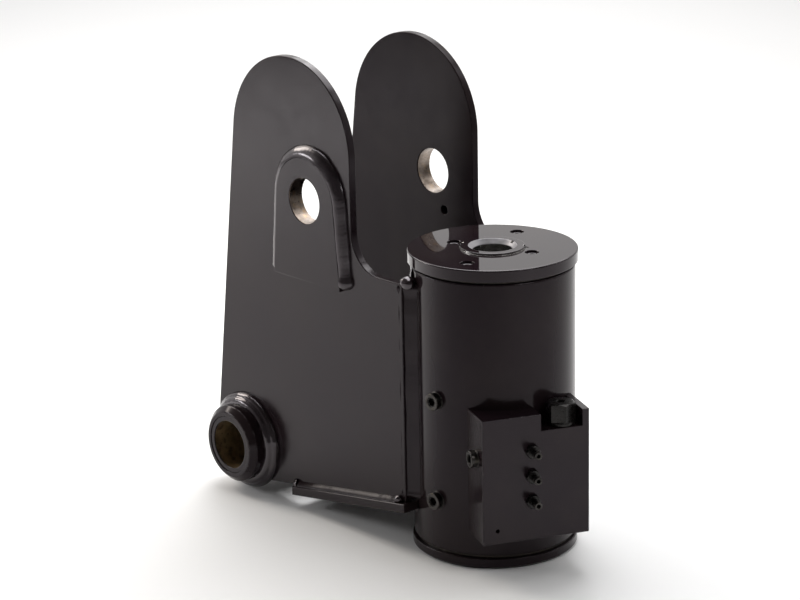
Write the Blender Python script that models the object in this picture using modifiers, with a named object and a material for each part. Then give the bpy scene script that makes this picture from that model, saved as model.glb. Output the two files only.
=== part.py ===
"""Helical hydraulic rotary actuator in a welded two-ear bracket, with a cross bush and a valve block.

Metres, +Z up.  The origin is on the floor, under the middle of the object's length and width.  +X runs
from the cross bush to the barrel; the two ears stand at -Y (left) and +Y (right).  The shaft turns about
the barrel's axis.  A piston sleeve inside slides along it and turns on two helical splines of opposite
hand: one in the ring gear fixed to the barrel, the other on the shaft.
"""

import math

import bmesh
import bpy
from mathutils import Vector

GAP = 0.0003  # clearance between pieces that touch
AXIS_X = 0.1305  # the barrel's axis, ahead of the origin
ROUND = 40  # sides of a large turned piece; smaller ones state their own
BARREL_SIDES = 56
OVERRUN = 0.002  # how far a cutter passes the face that it opens

# Barrel, shaft flange and end cap
BARREL_R = 0.095
BARREL_BORE_R = 0.076
BARREL_BOTTOM_Z = 0.016
BARREL_TOP_Z = 0.341
BARREL_EDGE = 0.001
FLANGE_R = 0.097
FLANGE_T = 0.0125
FLANGE_FOOT_BEVEL = 0.003
RIM_BEVEL = 0.0008
CAP_R = 0.0982
CAP_BOTTOM_Z = 0.3442
CAP_TOP_Z = 0.358
CAP_TOP_BEVEL = 0.0012
CAP_FOOT_BEVEL = 0.0005
JOURNAL_R = 0.0754
WEAR_GROOVE_R = 0.0732
SEAL_GROOVE_R = 0.0702
SHAFT_TOP_Z = 0.3605
SHAFT_R = 0.042
THREAD_R = 0.0375
SHAFT_BORE_R = 0.023
SHAFT_BORE_BEVEL = 0.005
WASHER_IN_R = 0.0765
WASHER_OUT_R = 0.0925

# Lower journal (on the shaft) and upper journal (under the cap): each has a wear ring and a seal
LOWER_JOURNAL_Z = 0.050
LOWER_WEAR_Z = (0.019, 0.032)
LOWER_SEAL_Z = (0.0375, 0.0465)
UPPER_JOURNAL_Z = 0.312
UPPER_WEAR_Z = (0.328, 0.340)
UPPER_SEAL_Z = (0.315, 0.324)
CAP_RING_Z = (0.317, 0.321)
CAP_RING_DEPTH = 0.003

# Fixings of the cap and of the flange
LOCK_PIN_R = 0.003
LOCK_PIN_ANGLES = (42, 210)
LOCK_PIN_CIRCLE_R = 0.0382
LOCK_PIN_BOTTOM_Z = 0.346
CAP_SCREW_PLACES = ((0.050, 20), (0.0705, 113), (0.050, 200), (0.0705, 293))  # radius, angle
CAP_SCREW_R = 0.005
CAP_SCREW_LENGTH = 0.008
CAP_SCREW_HOLE_DEPTH = 0.009
CAP_SCREW_SOCKET_DEPTH = 0.0035
COUNTERBORE_R = 0.008
COUNTERBORE_DEPTH = 0.0025
FLANGE_HOLES = 8
FLANGE_HOLE_R = 0.007
FLANGE_HOLE_CIRCLE_R = 0.060
FLANGE_HOLE_DEPTH = 0.024

# Helical splines: a quarter turn of the shaft each way moves the piston by LEAD / 8
LEAD = 0.320
SPLINE_STEP = 0.0125  # height of one facet along the helix
FLANK_CLEARANCE = 0.0005
TOOTH_ROOT_SHARE = 0.28  # half a tooth's width at its root and at its crest, as a share of the pitch
TOOTH_CREST_SHARE = 0.20
OUTER_TEETH = 10
OUTER_CREST_R = 0.0652
OUTER_ROOT_R = 0.0602
INNER_TEETH = 8
INNER_CREST_R = 0.0482
INNER_ROOT_R = 0.0432
RADIAL_CLEARANCE = 0.001
RING_GEAR_Z = (0.190, 0.226)
SHAFT_SPLINE_Z = (0.056, 0.180)

# Piston sleeve at mid travel
HEAD_Z = (0.092, 0.128)
HEAD_SEAL_Z = (0.112, 0.122)
HEAD_GUIDE_Z = (0.097, 0.107)
SLEEVE_TOP_Z = 0.262
SLEEVE_BORE_R = 0.052
SLEEVE_BORE_Z = (0.132, 0.252)
SLEEVE_BORE_TAPER = 0.006
ROD_SEAL_Z = (0.254, 0.260)
ROD_SEAL_R = 0.0465

# Bracket plates: x is measured from the barrel's axis, towards the cross bush is negative
PLATE_T = 0.010
PLATE_OUTER_Y = 0.101
PLATE_END_X = -0.044
PLATE_TOP_Z = 0.3245
PLATE_FILLET_R = 0.045
FOOT_SLOPE = math.radians(9.4)
FOOT_X = -0.246
FOOT_Z = 0.0267
EAR_X = -0.2397
EAR_Z = 0.4525
EAR_R = 0.1084
PIN_X = -0.2032
PIN_Z = 0.3954
PIN_HOLE_R = 0.0275
KEEPER_X = -0.183
KEEPER_Z = 0.3495
KEEPER_R = 0.0055
BOSS_R = 0.052
BOSS_T = 0.010
BOSS_FLARE = math.radians(5)
BOSS_BOTTOM_Z = 0.297
FOOT_PLATE_T = 0.0108
FOOT_PLATE_HALF_Y = 0.1095
FOOT_PLATE_END_X = -0.038

# Upright weld between a side plate's end and the barrel
WELD_CREST = 0.0012
WELD_ANGLES = (116.5, 124)  # where it lies on the barrel
WELD_INNER_X = -0.0585
WELD_INNER_LEG = 0.004

# Cross bush
BUSH_X = -0.3399
BUSH_Z = 0.0618
BUSH_EYE_R = 0.0599  # the plates' rounding about the bush
TUBE_R = 0.0484
TUBE_HALF_Y = 0.132
TUBE_CHAMFER = 0.007
TUBE_BORE_R = 0.0363
BRONZE_BORE_R = 0.030
BRONZE_LENGTH = 0.045
BRONZE_RECESS = 0.001
COLLAR_R = 0.0618
COLLAR_T = 0.014
COLLAR_BEVEL = (0.005, 0.006)  # radially and along the axis

# Valve block: its own frame is turned about the barrel's axis, depth outwards, then width
BLOCK_TURN = math.radians(-22.9)
BLOCK_BACK = 0.055
BLOCK_FRONT = 0.1235
BLOCK_WIDTH = (-0.0595, 0.0697)
BLOCK_Z = (0.0445, 0.194)
BLOCK_BEVEL = 0.0012
POCKET_WIDTH = (0.0108, 0.0612)
POCKET_FLOOR_Z = 0.174
CARTRIDGE_PLACE = (0.105, 0.042)  # depth, width
CARTRIDGE_HEX = 0.030
CARTRIDGE_TOP_Z = 0.200
CARTRIDGE_R = 0.0105
CARTRIDGE_LENGTH = 0.055
CARTRIDGE_EDGE = 0.0015
CARTRIDGE_COLLAR_T = 0.004
FITTING_HEIGHTS = (0.092, 0.122, 0.152)
FITTING_HEX = 0.0145
FITTING_BASE_T = 0.0065
FITTING_CAP_R = 0.0047
FITTING_CAP_Z = (0.0105, 0.020)
FITTING_CAP_HOLE = (0.0024, 0.004)  # radius, depth
FITTING_NECK_R = 0.0038
FITTING_NECK_TOP_Z = 0.0095
FITTING_THREAD_LENGTH = 0.009
FITTING_HOLE_R = 0.0043
FITTING_HOLE_DEPTH = 0.012
BLOCK_PLUG_PLACE = (0.103, 0.144)  # depth, height
BLOCK_PASSAGE_DEPTH = 0.060
SIDE_PORT_PLACES = ((0.101, 0.085), (0.101, 0.140))  # depth, height
SIDE_PORT_R = 0.0095
SIDE_PORT_DEPTH = 0.018
TAG_HOLE = (-0.0419, 0.0604, 0.0022, 0.008)  # width, height, radius, depth
FEED_HEIGHTS = (0.056, 0.178)  # oil holes from the block through the barrel's wall
FEED_HOLE_R = 0.004

# Threaded port plugs with a hexagon socket
PORT_ANGLE = math.radians(-87)
PORT_HEIGHTS = (0.075, 0.196)
PLUG_HEAD_R = 0.010
PLUG_HEAD_T = 0.009
PLUG_SHANK_R = 0.0065
PLUG_SHANK_LENGTH = 0.011
PLUG_SOCKET_R = 0.0055
PLUG_SOCKET_FLOOR_Z = 0.003
PLUG_EDGE = 0.001
SPOTFACE_DEPTH = 0.001
PORT_HOLE_DEPTH = 0.025

PARTS_NAME = "swing_actuator"
CUTTERS_NAME = "swing_actuator_cutters"


def clear_scene():
    for obj in list(bpy.data.objects):
        bpy.data.objects.remove(obj)


def new_collection(name):
    made = bpy.data.collections.new(name)
    bpy.context.scene.collection.children.link(made)
    return made


def material(name, colour, roughness, metallic):
    made = bpy.data.materials.new(name)
    made.use_nodes = True
    shader = made.node_tree.nodes["Principled BSDF"]
    shader.inputs["Base Color"].default_value = (*colour, 1)
    shader.inputs["Roughness"].default_value = roughness
    shader.inputs["Metallic"].default_value = metallic
    return made


clear_scene()
PARTS = new_collection(PARTS_NAME)
CUTTERS = new_collection(CUTTERS_NAME)
PAINT = {"colour": (0.012, 0.011, 0.011), "roughness": 0.2, "metallic": 0.0}
STEEL = {"colour": (0.45, 0.44, 0.42), "roughness": 0.3, "metallic": 1.0}
DARK_STEEL = {"colour": (0.08, 0.08, 0.08), "roughness": 0.4, "metallic": 1.0}
BRONZE = {"colour": (0.45, 0.28, 0.12), "roughness": 0.35, "metallic": 1.0}
SEAL = {"colour": (0.02, 0.05, 0.09), "roughness": 0.6, "metallic": 0.0}


# ---- shapes

def add_part(name, data, look):
    """A named piece of the object, with a material of its own."""
    data.materials.clear()
    data.materials.append(material(name, **look))
    obj = bpy.data.objects.new(name, data)
    PARTS.objects.link(obj)
    return obj


def add_cutter(name, data):
    obj = bpy.data.objects.new(name, data)
    obj.hide_render = True
    obj.display_type = "WIRE"
    CUTTERS.objects.link(obj)
    return obj


def mesh_of(obj):
    """A new mesh of the object as its modifiers leave it; the object itself is removed."""
    graph = bpy.context.evaluated_depsgraph_get()
    made = bpy.data.meshes.new_from_object(obj.evaluated_get(graph))
    made.transform(obj.matrix_basis)
    bpy.data.objects.remove(obj)
    return made


def join(obj, cutter, operation):
    step = obj.modifiers.new(cutter.name, "BOOLEAN")
    step.operation = operation
    step.object = cutter
    step.solver = "EXACT"


def turned_mesh(profile, segments, closed):
    """Turns (radius, height) points, which run down the outer side, about Z."""
    count = len(profile)
    data = bpy.data.meshes.new("profile")
    edges = [(i, i + 1) for i in range(count - 1)]
    if closed:
        edges.append((count - 1, 0))
    data.from_pydata([(radius, 0, height) for radius, height in profile], edges, [])
    obj = add_cutter("profile", data)
    screw = obj.modifiers.new("turn", "SCREW")
    screw.steps = segments
    screw.render_steps = segments
    screw.use_merge_vertices = True
    screw.merge_threshold = 0.00001
    made = mesh_of(obj)
    made.shade_smooth()
    made.set_sharp_from_angle(angle=math.radians(30))
    return made


def ring_mesh(inner, outer, bottom, top, segments=ROUND):
    profile = [(inner, top), (outer, top), (outer, bottom), (inner, bottom)]
    return turned_mesh(profile, segments, closed=True)


def rod_mesh(radius, bottom, top, segments=ROUND):
    return turned_mesh([(0, top), (radius, top), (radius, bottom), (0, bottom)], segments, closed=False)


def hexagon_mesh(across_flats, bottom, top):
    mesh = rod_mesh(across_flats / math.sqrt(3), bottom, top, segments=6)
    mesh.shade_flat()
    return mesh


def box_mesh(low, high):
    shape = bmesh.new()
    bmesh.ops.create_cube(shape, size=1)
    low, high = Vector(low), Vector(high)
    bmesh.ops.scale(shape, vec=high - low, verts=shape.verts)
    bmesh.ops.translate(shape, vec=(low + high) / 2, verts=shape.verts)
    data = bpy.data.meshes.new("box")
    shape.to_mesh(data)
    shape.free()
    return data


def arc(centre, radius, start, end, steps):
    """Points of an arc, both ends included; the angles are in degrees."""
    angles = [math.radians(start + (end - start) * i / steps) for i in range(steps + 1)]
    return [(centre[0] + radius * math.cos(a), centre[1] + radius * math.sin(a)) for a in angles]


def circle(centre, radius, steps):
    return arc(centre, radius, 0, 360 * (steps - 1) / steps, steps - 1)


def flat_curve(outlines, thickness):
    """A plate of the given outlines, the second and later ones being holes, in the curve's XY plane."""
    data = bpy.data.curves.new("plate", "CURVE")
    data.dimensions = "2D"
    data.fill_mode = "BOTH"
    data.extrude = thickness / 2
    for outline in outlines:
        spline = data.splines.new("POLY")
        spline.points.add(len(outline) - 1)
        for point, (x, y) in zip(spline.points, outline):
            point.co = (x, y, 0, 1)
        spline.use_cyclic_u = True
    return data


def upright_plate(name, outlines, y, thickness, look):
    """A plate in the XZ plane at the given y, drawn from the barrel's axis."""
    obj = add_part(name, flat_curve(outlines, thickness), look)
    obj.location = (AXIS_X, y, 0)
    obj.rotation_euler = (math.pi / 2, 0, 0)
    return obj


def toothed_mesh(root_r, crest_r, teeth, bottom, top, hand, clearance=0):
    """A helical spline of trapezoidal teeth; hand is 1 for a right-hand helix and -1 for a left-hand one."""
    pitch = 2 * math.pi / teeth
    widen = clearance / root_r
    root_half = TOOTH_ROOT_SHARE * pitch + widen
    crest_half = TOOTH_CREST_SHARE * pitch + widen
    start = hand * 2 * math.pi * bottom / LEAD
    shape = bmesh.new()
    corners = []
    for tooth in range(teeth):
        middle = start + tooth * pitch
        for offset, radius in ((-root_half, root_r), (-crest_half, crest_r),
                               (crest_half, crest_r), (root_half, root_r)):
            angle = middle + offset
            corners.append(shape.verts.new((radius * math.cos(angle), radius * math.sin(angle), bottom)))
    face = shape.faces.new(corners)
    steps = max(1, round((top - bottom) / SPLINE_STEP))
    rise = (top - bottom) / steps
    bmesh.ops.spin(shape, geom=[face, *face.edges, *face.verts], cent=(0, 0, 0), axis=(0, 0, 1),
                   dvec=(0, 0, rise), angle=hand * 2 * math.pi * (top - bottom) / LEAD, steps=steps)
    bmesh.ops.recalc_face_normals(shape, faces=shape.faces)
    bmesh.ops.triangulate(shape, faces=shape.faces, quad_method="SHORT_EDGE")
    data = bpy.data.meshes.new("spline")
    shape.to_mesh(data)
    shape.free()
    return data


# ---- placing

def on_axis(obj):
    """Puts a piece drawn about Z on the barrel's axis, which is also the joints' axis."""
    obj.location = (AXIS_X, 0, 0)
    return obj


def polar(radius, degrees, height=0.0):
    angle = math.radians(degrees)
    return Vector((AXIS_X + radius * math.cos(angle), radius * math.sin(angle), height))


def block_point(depth, width, height):
    """A point given in the valve block's turned frame."""
    c, s = math.cos(BLOCK_TURN), math.sin(BLOCK_TURN)
    return Vector((AXIS_X + depth * c - width * s, depth * s + width * c, height))


BLOCK_OUT = Vector((math.cos(BLOCK_TURN), math.sin(BLOCK_TURN), 0))
BLOCK_SIDE = Vector((-math.sin(BLOCK_TURN), math.cos(BLOCK_TURN), 0))


def aim(obj, point, direction):
    """Stands a piece drawn about Z on a point, with its +Z along the direction."""
    obj.location = point
    obj.rotation_mode = "QUATERNION"
    obj.rotation_quaternion = Vector(direction).to_track_quat("Z", "Y")
    return obj


def drill(target, name, point, direction, radius, depth, segments=16):
    """Cuts a round hole into a face at the point; the direction leaves the face."""
    cutter = aim(add_cutter(name, rod_mesh(radius, -depth, OVERRUN, segments)), point, direction)
    join(target, cutter, "DIFFERENCE")


# ---- bracket

def foot_height(x):
    """The side plates' sloping lower edge."""
    return FOOT_Z + (x - FOOT_X) * math.tan(FOOT_SLOPE)


def side_plate_outlines(with_keeper_hole):
    bush, ear = Vector((BUSH_X, BUSH_Z)), Vector((EAR_X, EAR_Z))
    along = ear - bush
    tangent = math.degrees(math.atan2(along.y, along.x) + math.acos((BUSH_EYE_R - EAR_R) / along.length))
    down = Vector((math.sin(FOOT_SLOPE), -math.cos(FOOT_SLOPE)))
    to_edge = down.dot(Vector((FOOT_X, FOOT_Z)) - bush)
    last = 360 + math.degrees(math.atan2(down.y, down.x) - math.acos(to_edge / BUSH_EYE_R))
    neck_x = EAR_X + EAR_R
    fillet_centre = (neck_x + PLATE_FILLET_R, PLATE_TOP_Z + PLATE_FILLET_R)
    outline = arc(ear, EAR_R, 0, tangent, 24)
    outline += arc(bush, BUSH_EYE_R, tangent, last, 8)
    outline += [(PLATE_END_X, foot_height(PLATE_END_X)), (PLATE_END_X, PLATE_TOP_Z)]
    outline += arc(fillet_centre, PLATE_FILLET_R, -90, -180, 8)
    holes = [circle((PIN_X, PIN_Z), PIN_HOLE_R, 32), circle(bush, TUBE_R + GAP, 48)]
    if with_keeper_hole:
        holes.append(circle((KEEPER_X, KEEPER_Z), KEEPER_R, 12))
    return [outline, *holes]


def boss_outlines():
    pin = (PIN_X, PIN_Z)
    flare = math.degrees(BOSS_FLARE)
    drop = PIN_Z - BOSS_BOTTOM_Z
    half = (BOSS_R + drop * math.sin(BOSS_FLARE)) / math.cos(BOSS_FLARE)
    outline = arc(pin, BOSS_R, flare, 180 - flare, 20)
    outline += [(PIN_X - half, BOSS_BOTTOM_Z), (PIN_X + half, BOSS_BOTTOM_Z)]
    return [outline, circle(pin, PIN_HOLE_R, 32)]


def weld_outline(side):
    """Section of the upright weld that joins a side plate's end to the barrel, both faces of the plate."""
    inner_y = PLATE_OUTER_Y - PLATE_T - GAP
    outer_y = PLATE_OUTER_Y + GAP
    clear_x = PLATE_END_X + GAP
    points = [(PLATE_END_X - 0.005, outer_y), (PLATE_END_X - 0.003, outer_y + WELD_CREST),
              (clear_x + 0.0015, outer_y), (clear_x + 0.0018, PLATE_OUTER_Y - 0.007)]
    points += arc((0, 0), BARREL_R + GAP, *WELD_ANGLES, 4)
    points += [(WELD_INNER_X, inner_y - WELD_INNER_LEG), (WELD_INNER_X + 0.001, inner_y),
               (clear_x, inner_y), (clear_x, outer_y)]
    return [[(x, side * y) for x, y in points]]


def make_bracket():
    plate_y = PLATE_OUTER_Y - PLATE_T / 2
    boss_y = PLATE_OUTER_Y + GAP + BOSS_T / 2
    weld_low = foot_height(PLATE_END_X) + 0.001
    for side, word in ((-1, "left"), (1, "right")):
        outlines = side_plate_outlines(with_keeper_hole=side > 0)
        upright_plate(f"side_plate_{word}", outlines, side * plate_y, PLATE_T, PAINT)
        upright_plate(f"boss_plate_{word}", boss_outlines(), side * boss_y, BOSS_T, PAINT)
        weld = add_part(f"barrel_weld_{word}", flat_curve(weld_outline(side), PLATE_TOP_Z - weld_low), PAINT)
        weld.location = (AXIS_X, 0, (PLATE_TOP_Z + weld_low) / 2)
    make_bottom_plate()


def make_bottom_plate():
    top_left = (FOOT_X, foot_height(FOOT_X) - GAP)
    top_right = (FOOT_PLATE_END_X, foot_height(FOOT_PLATE_END_X) - GAP)
    drop = FOOT_PLATE_T / math.cos(FOOT_SLOPE)
    outline = [top_left, (top_left[0], top_left[1] - drop), (top_right[0], top_right[1] - drop), top_right]
    blank = upright_plate("foot_blank", [outline], 0, 2 * FOOT_PLATE_HALF_Y, PAINT)
    data = mesh_of(blank)
    shape = bmesh.new()
    shape.from_mesh(data)
    bmesh.ops.remove_doubles(shape, verts=shape.verts, dist=0.00001)
    shape.to_mesh(data)
    shape.free()
    plate = add_part("bottom_plate", data, PAINT)
    join(plate, barrel_saddle("plate_saddle"), "DIFFERENCE")


def barrel_saddle(name):
    """What the barrel and its clearance take out of a piece that fits round it."""
    return on_axis(add_cutter(name, rod_mesh(BARREL_R + 2 * GAP, -0.01, BARREL_TOP_Z, BARREL_SIDES)))


def along_y(obj, side=1):
    """Lays a piece drawn about Z on the cross bush's axis, its +Z pointing to the given side."""
    return aim(obj, (AXIS_X + BUSH_X, 0, BUSH_Z), (0, side, 0))


def make_cross_bush():
    shoulder_r = TUBE_R - TUBE_CHAMFER
    shoulder_y = TUBE_HALF_Y - TUBE_CHAMFER
    profile = [(TUBE_BORE_R, TUBE_HALF_Y), (shoulder_r, TUBE_HALF_Y), (TUBE_R, shoulder_y),
               (TUBE_R, -shoulder_y), (shoulder_r, -TUBE_HALF_Y), (TUBE_BORE_R, -TUBE_HALF_Y)]
    along_y(add_part("cross_tube", turned_mesh(profile, ROUND, closed=True), PAINT))
    outer_end = TUBE_HALF_Y - BRONZE_RECESS
    face = PLATE_OUTER_Y + GAP
    inward, back = COLLAR_BEVEL
    collar = [(TUBE_R + GAP, face + COLLAR_T), (COLLAR_R - inward, face + COLLAR_T),
              (COLLAR_R, face + COLLAR_T - back), (COLLAR_R, face), (TUBE_R + GAP, face)]
    for side, word in ((-1, "left"), (1, "right")):
        bronze = ring_mesh(BRONZE_BORE_R, TUBE_BORE_R - GAP, outer_end - BRONZE_LENGTH, outer_end, 32)
        along_y(add_part(f"bronze_bush_{word}", bronze, BRONZE), side)
        along_y(add_part(f"tube_collar_{word}", turned_mesh(collar, ROUND, closed=True), PAINT), side)


# ---- barrel and what is fixed in it

def port_direction():
    return Vector((math.cos(PORT_ANGLE), math.sin(PORT_ANGLE), 0))


def make_barrel():
    rim_r = BARREL_R - BARREL_EDGE
    profile = [(BARREL_BORE_R, BARREL_TOP_Z), (rim_r, BARREL_TOP_Z), (BARREL_R, BARREL_TOP_Z - BARREL_EDGE),
               (BARREL_R, BARREL_BOTTOM_Z + BARREL_EDGE), (rim_r, BARREL_BOTTOM_Z),
               (BARREL_BORE_R, BARREL_BOTTOM_Z)]
    tube = on_axis(add_part("barrel_tube", turned_mesh(profile, BARREL_SIDES, closed=True), PAINT))
    out = port_direction()
    axis = Vector((AXIS_X, 0, 0))
    for index, height in enumerate(PORT_HEIGHTS):
        seat = axis + out * (BARREL_R - SPOTFACE_DEPTH) + Vector((0, 0, height))
        drill(tube, f"port_spotface_{index}", seat, out, PLUG_HEAD_R + 0.001, 0, 20)
        drill(tube, f"port_hole_{index}", seat, out, PLUG_SHANK_R + GAP, PORT_HOLE_DEPTH)
    for index, height in enumerate(FEED_HEIGHTS):
        mouth = block_point(BARREL_R, 0, height)
        drill(tube, f"feed_hole_{index}", mouth, BLOCK_OUT, FEED_HOLE_R, PORT_HOLE_DEPTH, 12)
    gear = on_axis(add_part("ring_gear", rod_mesh(BARREL_BORE_R - GAP, *RING_GEAR_Z), DARK_STEEL))
    teeth = toothed_mesh(OUTER_ROOT_R + RADIAL_CLEARANCE, OUTER_CREST_R + RADIAL_CLEARANCE, OUTER_TEETH,
                         RING_GEAR_Z[0] - OVERRUN, RING_GEAR_Z[1] + OVERRUN, 1, FLANK_CLEARANCE)
    join(gear, on_axis(add_cutter("ring_gear_teeth", teeth)), "DIFFERENCE")
    lower = (FLANGE_T + GAP, BARREL_BOTTOM_Z - GAP)
    upper = (BARREL_TOP_Z + GAP, CAP_BOTTOM_Z - GAP)
    for word, heights in (("lower", lower), ("upper", upper)):
        washer = ring_mesh(WASHER_IN_R, WASHER_OUT_R, *heights)
        on_axis(add_part(f"thrust_washer_{word}", washer, BRONZE))


def plug_mesh():
    """A threaded port plug with a hexagon socket: its head sits on z = 0 and its shank goes down."""
    profile = [(0, PLUG_HEAD_T), (PLUG_HEAD_R - PLUG_EDGE, PLUG_HEAD_T), (PLUG_HEAD_R, PLUG_HEAD_T - PLUG_EDGE),
               (PLUG_HEAD_R, 0), (PLUG_SHANK_R, 0), (PLUG_SHANK_R, -PLUG_SHANK_LENGTH), (0, -PLUG_SHANK_LENGTH)]
    body = add_cutter("plug_blank", turned_mesh(profile, 16, closed=False))
    hexagon = hexagon_mesh(PLUG_SOCKET_R * math.sqrt(3), PLUG_SOCKET_FLOOR_Z, PLUG_HEAD_T + OVERRUN)
    socket = add_cutter("plug_socket", hexagon)
    join(body, socket, "DIFFERENCE")
    return mesh_of(body)


def make_port_plugs():
    shape = plug_mesh()
    out = port_direction()
    for word, height in zip(("lower", "upper"), PORT_HEIGHTS):
        seat = Vector((AXIS_X, 0, height)) + out * (BARREL_R - SPOTFACE_DEPTH + GAP)
        aim(add_part(f"barrel_plug_{word}", shape.copy(), DARK_STEEL), seat, out)
    depth, height = BLOCK_PLUG_PLACE
    seat = block_point(depth, BLOCK_WIDTH[0] - GAP, height)
    aim(add_part("block_plug", shape.copy(), DARK_STEEL), seat, -BLOCK_SIDE)


# ---- valve block

def make_block():
    low = (BLOCK_BACK, BLOCK_WIDTH[0], BLOCK_Z[0])
    high = (BLOCK_FRONT, BLOCK_WIDTH[1], BLOCK_Z[1])
    block = add_part("manifold_block", box_mesh(low, high), PAINT)
    block.location = (AXIS_X, 0, 0)
    block.rotation_euler = (0, 0, BLOCK_TURN)
    edges = block.modifiers.new("edges", "BEVEL")
    edges.width = BLOCK_BEVEL
    edges.segments = 1
    join(block, barrel_saddle("block_saddle"), "DIFFERENCE")
    pocket = box_mesh((BLOCK_BACK, POCKET_WIDTH[0], POCKET_FLOOR_Z),
                      (BLOCK_FRONT + OVERRUN, POCKET_WIDTH[1], BLOCK_Z[1] + OVERRUN))
    pocket_cutter = add_cutter("block_pocket", pocket)
    pocket_cutter.location = block.location
    pocket_cutter.rotation_euler = block.rotation_euler
    join(block, pocket_cutter, "DIFFERENCE")
    up = Vector((0, 0, 1))
    depth, width = CARTRIDGE_PLACE
    drill(block, "cartridge_bore", block_point(depth, width, POCKET_FLOOR_Z), up,
          CARTRIDGE_R + GAP, CARTRIDGE_LENGTH + OVERRUN, 20)
    depth, height = BLOCK_PLUG_PLACE
    drill(block, "cross_passage", block_point(depth, BLOCK_WIDTH[0], height), -BLOCK_SIDE,
          PLUG_SHANK_R + GAP, BLOCK_PASSAGE_DEPTH)
    for index, height in enumerate(FITTING_HEIGHTS):
        drill(block, f"fitting_hole_{index}", block_point(BLOCK_FRONT, 0, height), BLOCK_OUT,
              FITTING_HOLE_R, FITTING_HOLE_DEPTH, 12)
    for index, (depth, height) in enumerate(SIDE_PORT_PLACES):
        drill(block, f"side_port_{index}", block_point(depth, BLOCK_WIDTH[1], height), BLOCK_SIDE,
              SIDE_PORT_R, SIDE_PORT_DEPTH)
    width, height, radius, depth = TAG_HOLE
    drill(block, "tag_hole", block_point(BLOCK_FRONT, width, height), BLOCK_OUT, radius, depth, 12)


def make_cartridge():
    """A screw-in valve: its hexagon stands in the block's pocket and its body goes down the bore."""
    floor = POCKET_FLOOR_Z + GAP
    collar_top = floor + CARTRIDGE_COLLAR_T
    flat = CARTRIDGE_HEX / 2
    blank_r = CARTRIDGE_HEX / math.sqrt(3) + 0.001
    collar_r = flat + 0.002
    turned = [(0, CARTRIDGE_TOP_Z), (flat, CARTRIDGE_TOP_Z), (blank_r, CARTRIDGE_TOP_Z - CARTRIDGE_EDGE),
              (blank_r, collar_top), (collar_r, collar_top), (collar_r, floor),
              (CARTRIDGE_R, floor), (CARTRIDGE_R, floor - CARTRIDGE_LENGTH), (0, floor - CARTRIDGE_LENGTH)]
    cartridge = add_part("valve_cartridge", turned_mesh(turned, 20, closed=False), DARK_STEEL)
    hexagon = hexagon_ring_cutter(blank_r + OVERRUN, CARTRIDGE_HEX, collar_top, CARTRIDGE_TOP_Z + OVERRUN)
    join(cartridge, hexagon, "DIFFERENCE")
    depth, width = CARTRIDGE_PLACE
    for obj in (cartridge, hexagon):
        obj.location = block_point(depth, width, 0)
        obj.rotation_euler = (0, 0, BLOCK_TURN)


def hexagon_ring_cutter(outer, across_flats, bottom, top):
    """A ring with a hexagonal hole, which leaves a hexagon of what it cuts."""
    ring = add_cutter("hexagon_ring", rod_mesh(outer, bottom, top, 24))
    hole = add_cutter("hexagon_hole", hexagon_mesh(across_flats, bottom - OVERRUN, top + OVERRUN))
    join(ring, hole, "DIFFERENCE")
    return add_cutter("hexagon_ring_cut", mesh_of(ring))


def fitting_mesh():
    """A capped test point: hexagon base on z = 0, then a neck and a hollow cap; a short thread goes down."""
    cap_bottom, cap_top = FITTING_CAP_Z
    hole_r, hole_depth = FITTING_CAP_HOLE
    stem = [(0, cap_top - hole_depth), (hole_r, cap_top - hole_depth), (hole_r, cap_top),
            (FITTING_CAP_R, cap_top), (FITTING_CAP_R, cap_bottom), (FITTING_NECK_R, FITTING_NECK_TOP_Z),
            (FITTING_NECK_R, -FITTING_THREAD_LENGTH), (0, -FITTING_THREAD_LENGTH)]
    body = add_cutter("fitting_blank", turned_mesh(stem, 12, closed=False))
    base = add_cutter("fitting_base", hexagon_mesh(FITTING_HEX, 0, FITTING_BASE_T))
    join(body, base, "UNION")
    return mesh_of(body)


def make_fittings():
    shape = fitting_mesh()
    for word, height in zip(("lower", "middle", "upper"), FITTING_HEIGHTS):
        fitting = add_part(f"test_point_{word}", shape.copy(), DARK_STEEL)
        aim(fitting, block_point(BLOCK_FRONT + GAP, 0, height), BLOCK_OUT)


# ---- what turns with the shaft

def lock_pin_cutter(name, degrees):
    cutter = add_cutter(name, rod_mesh(LOCK_PIN_R + GAP, LOCK_PIN_BOTTOM_Z, SHAFT_TOP_Z + OVERRUN, 12))
    cutter.location = polar(LOCK_PIN_CIRCLE_R, degrees)
    return cutter


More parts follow.
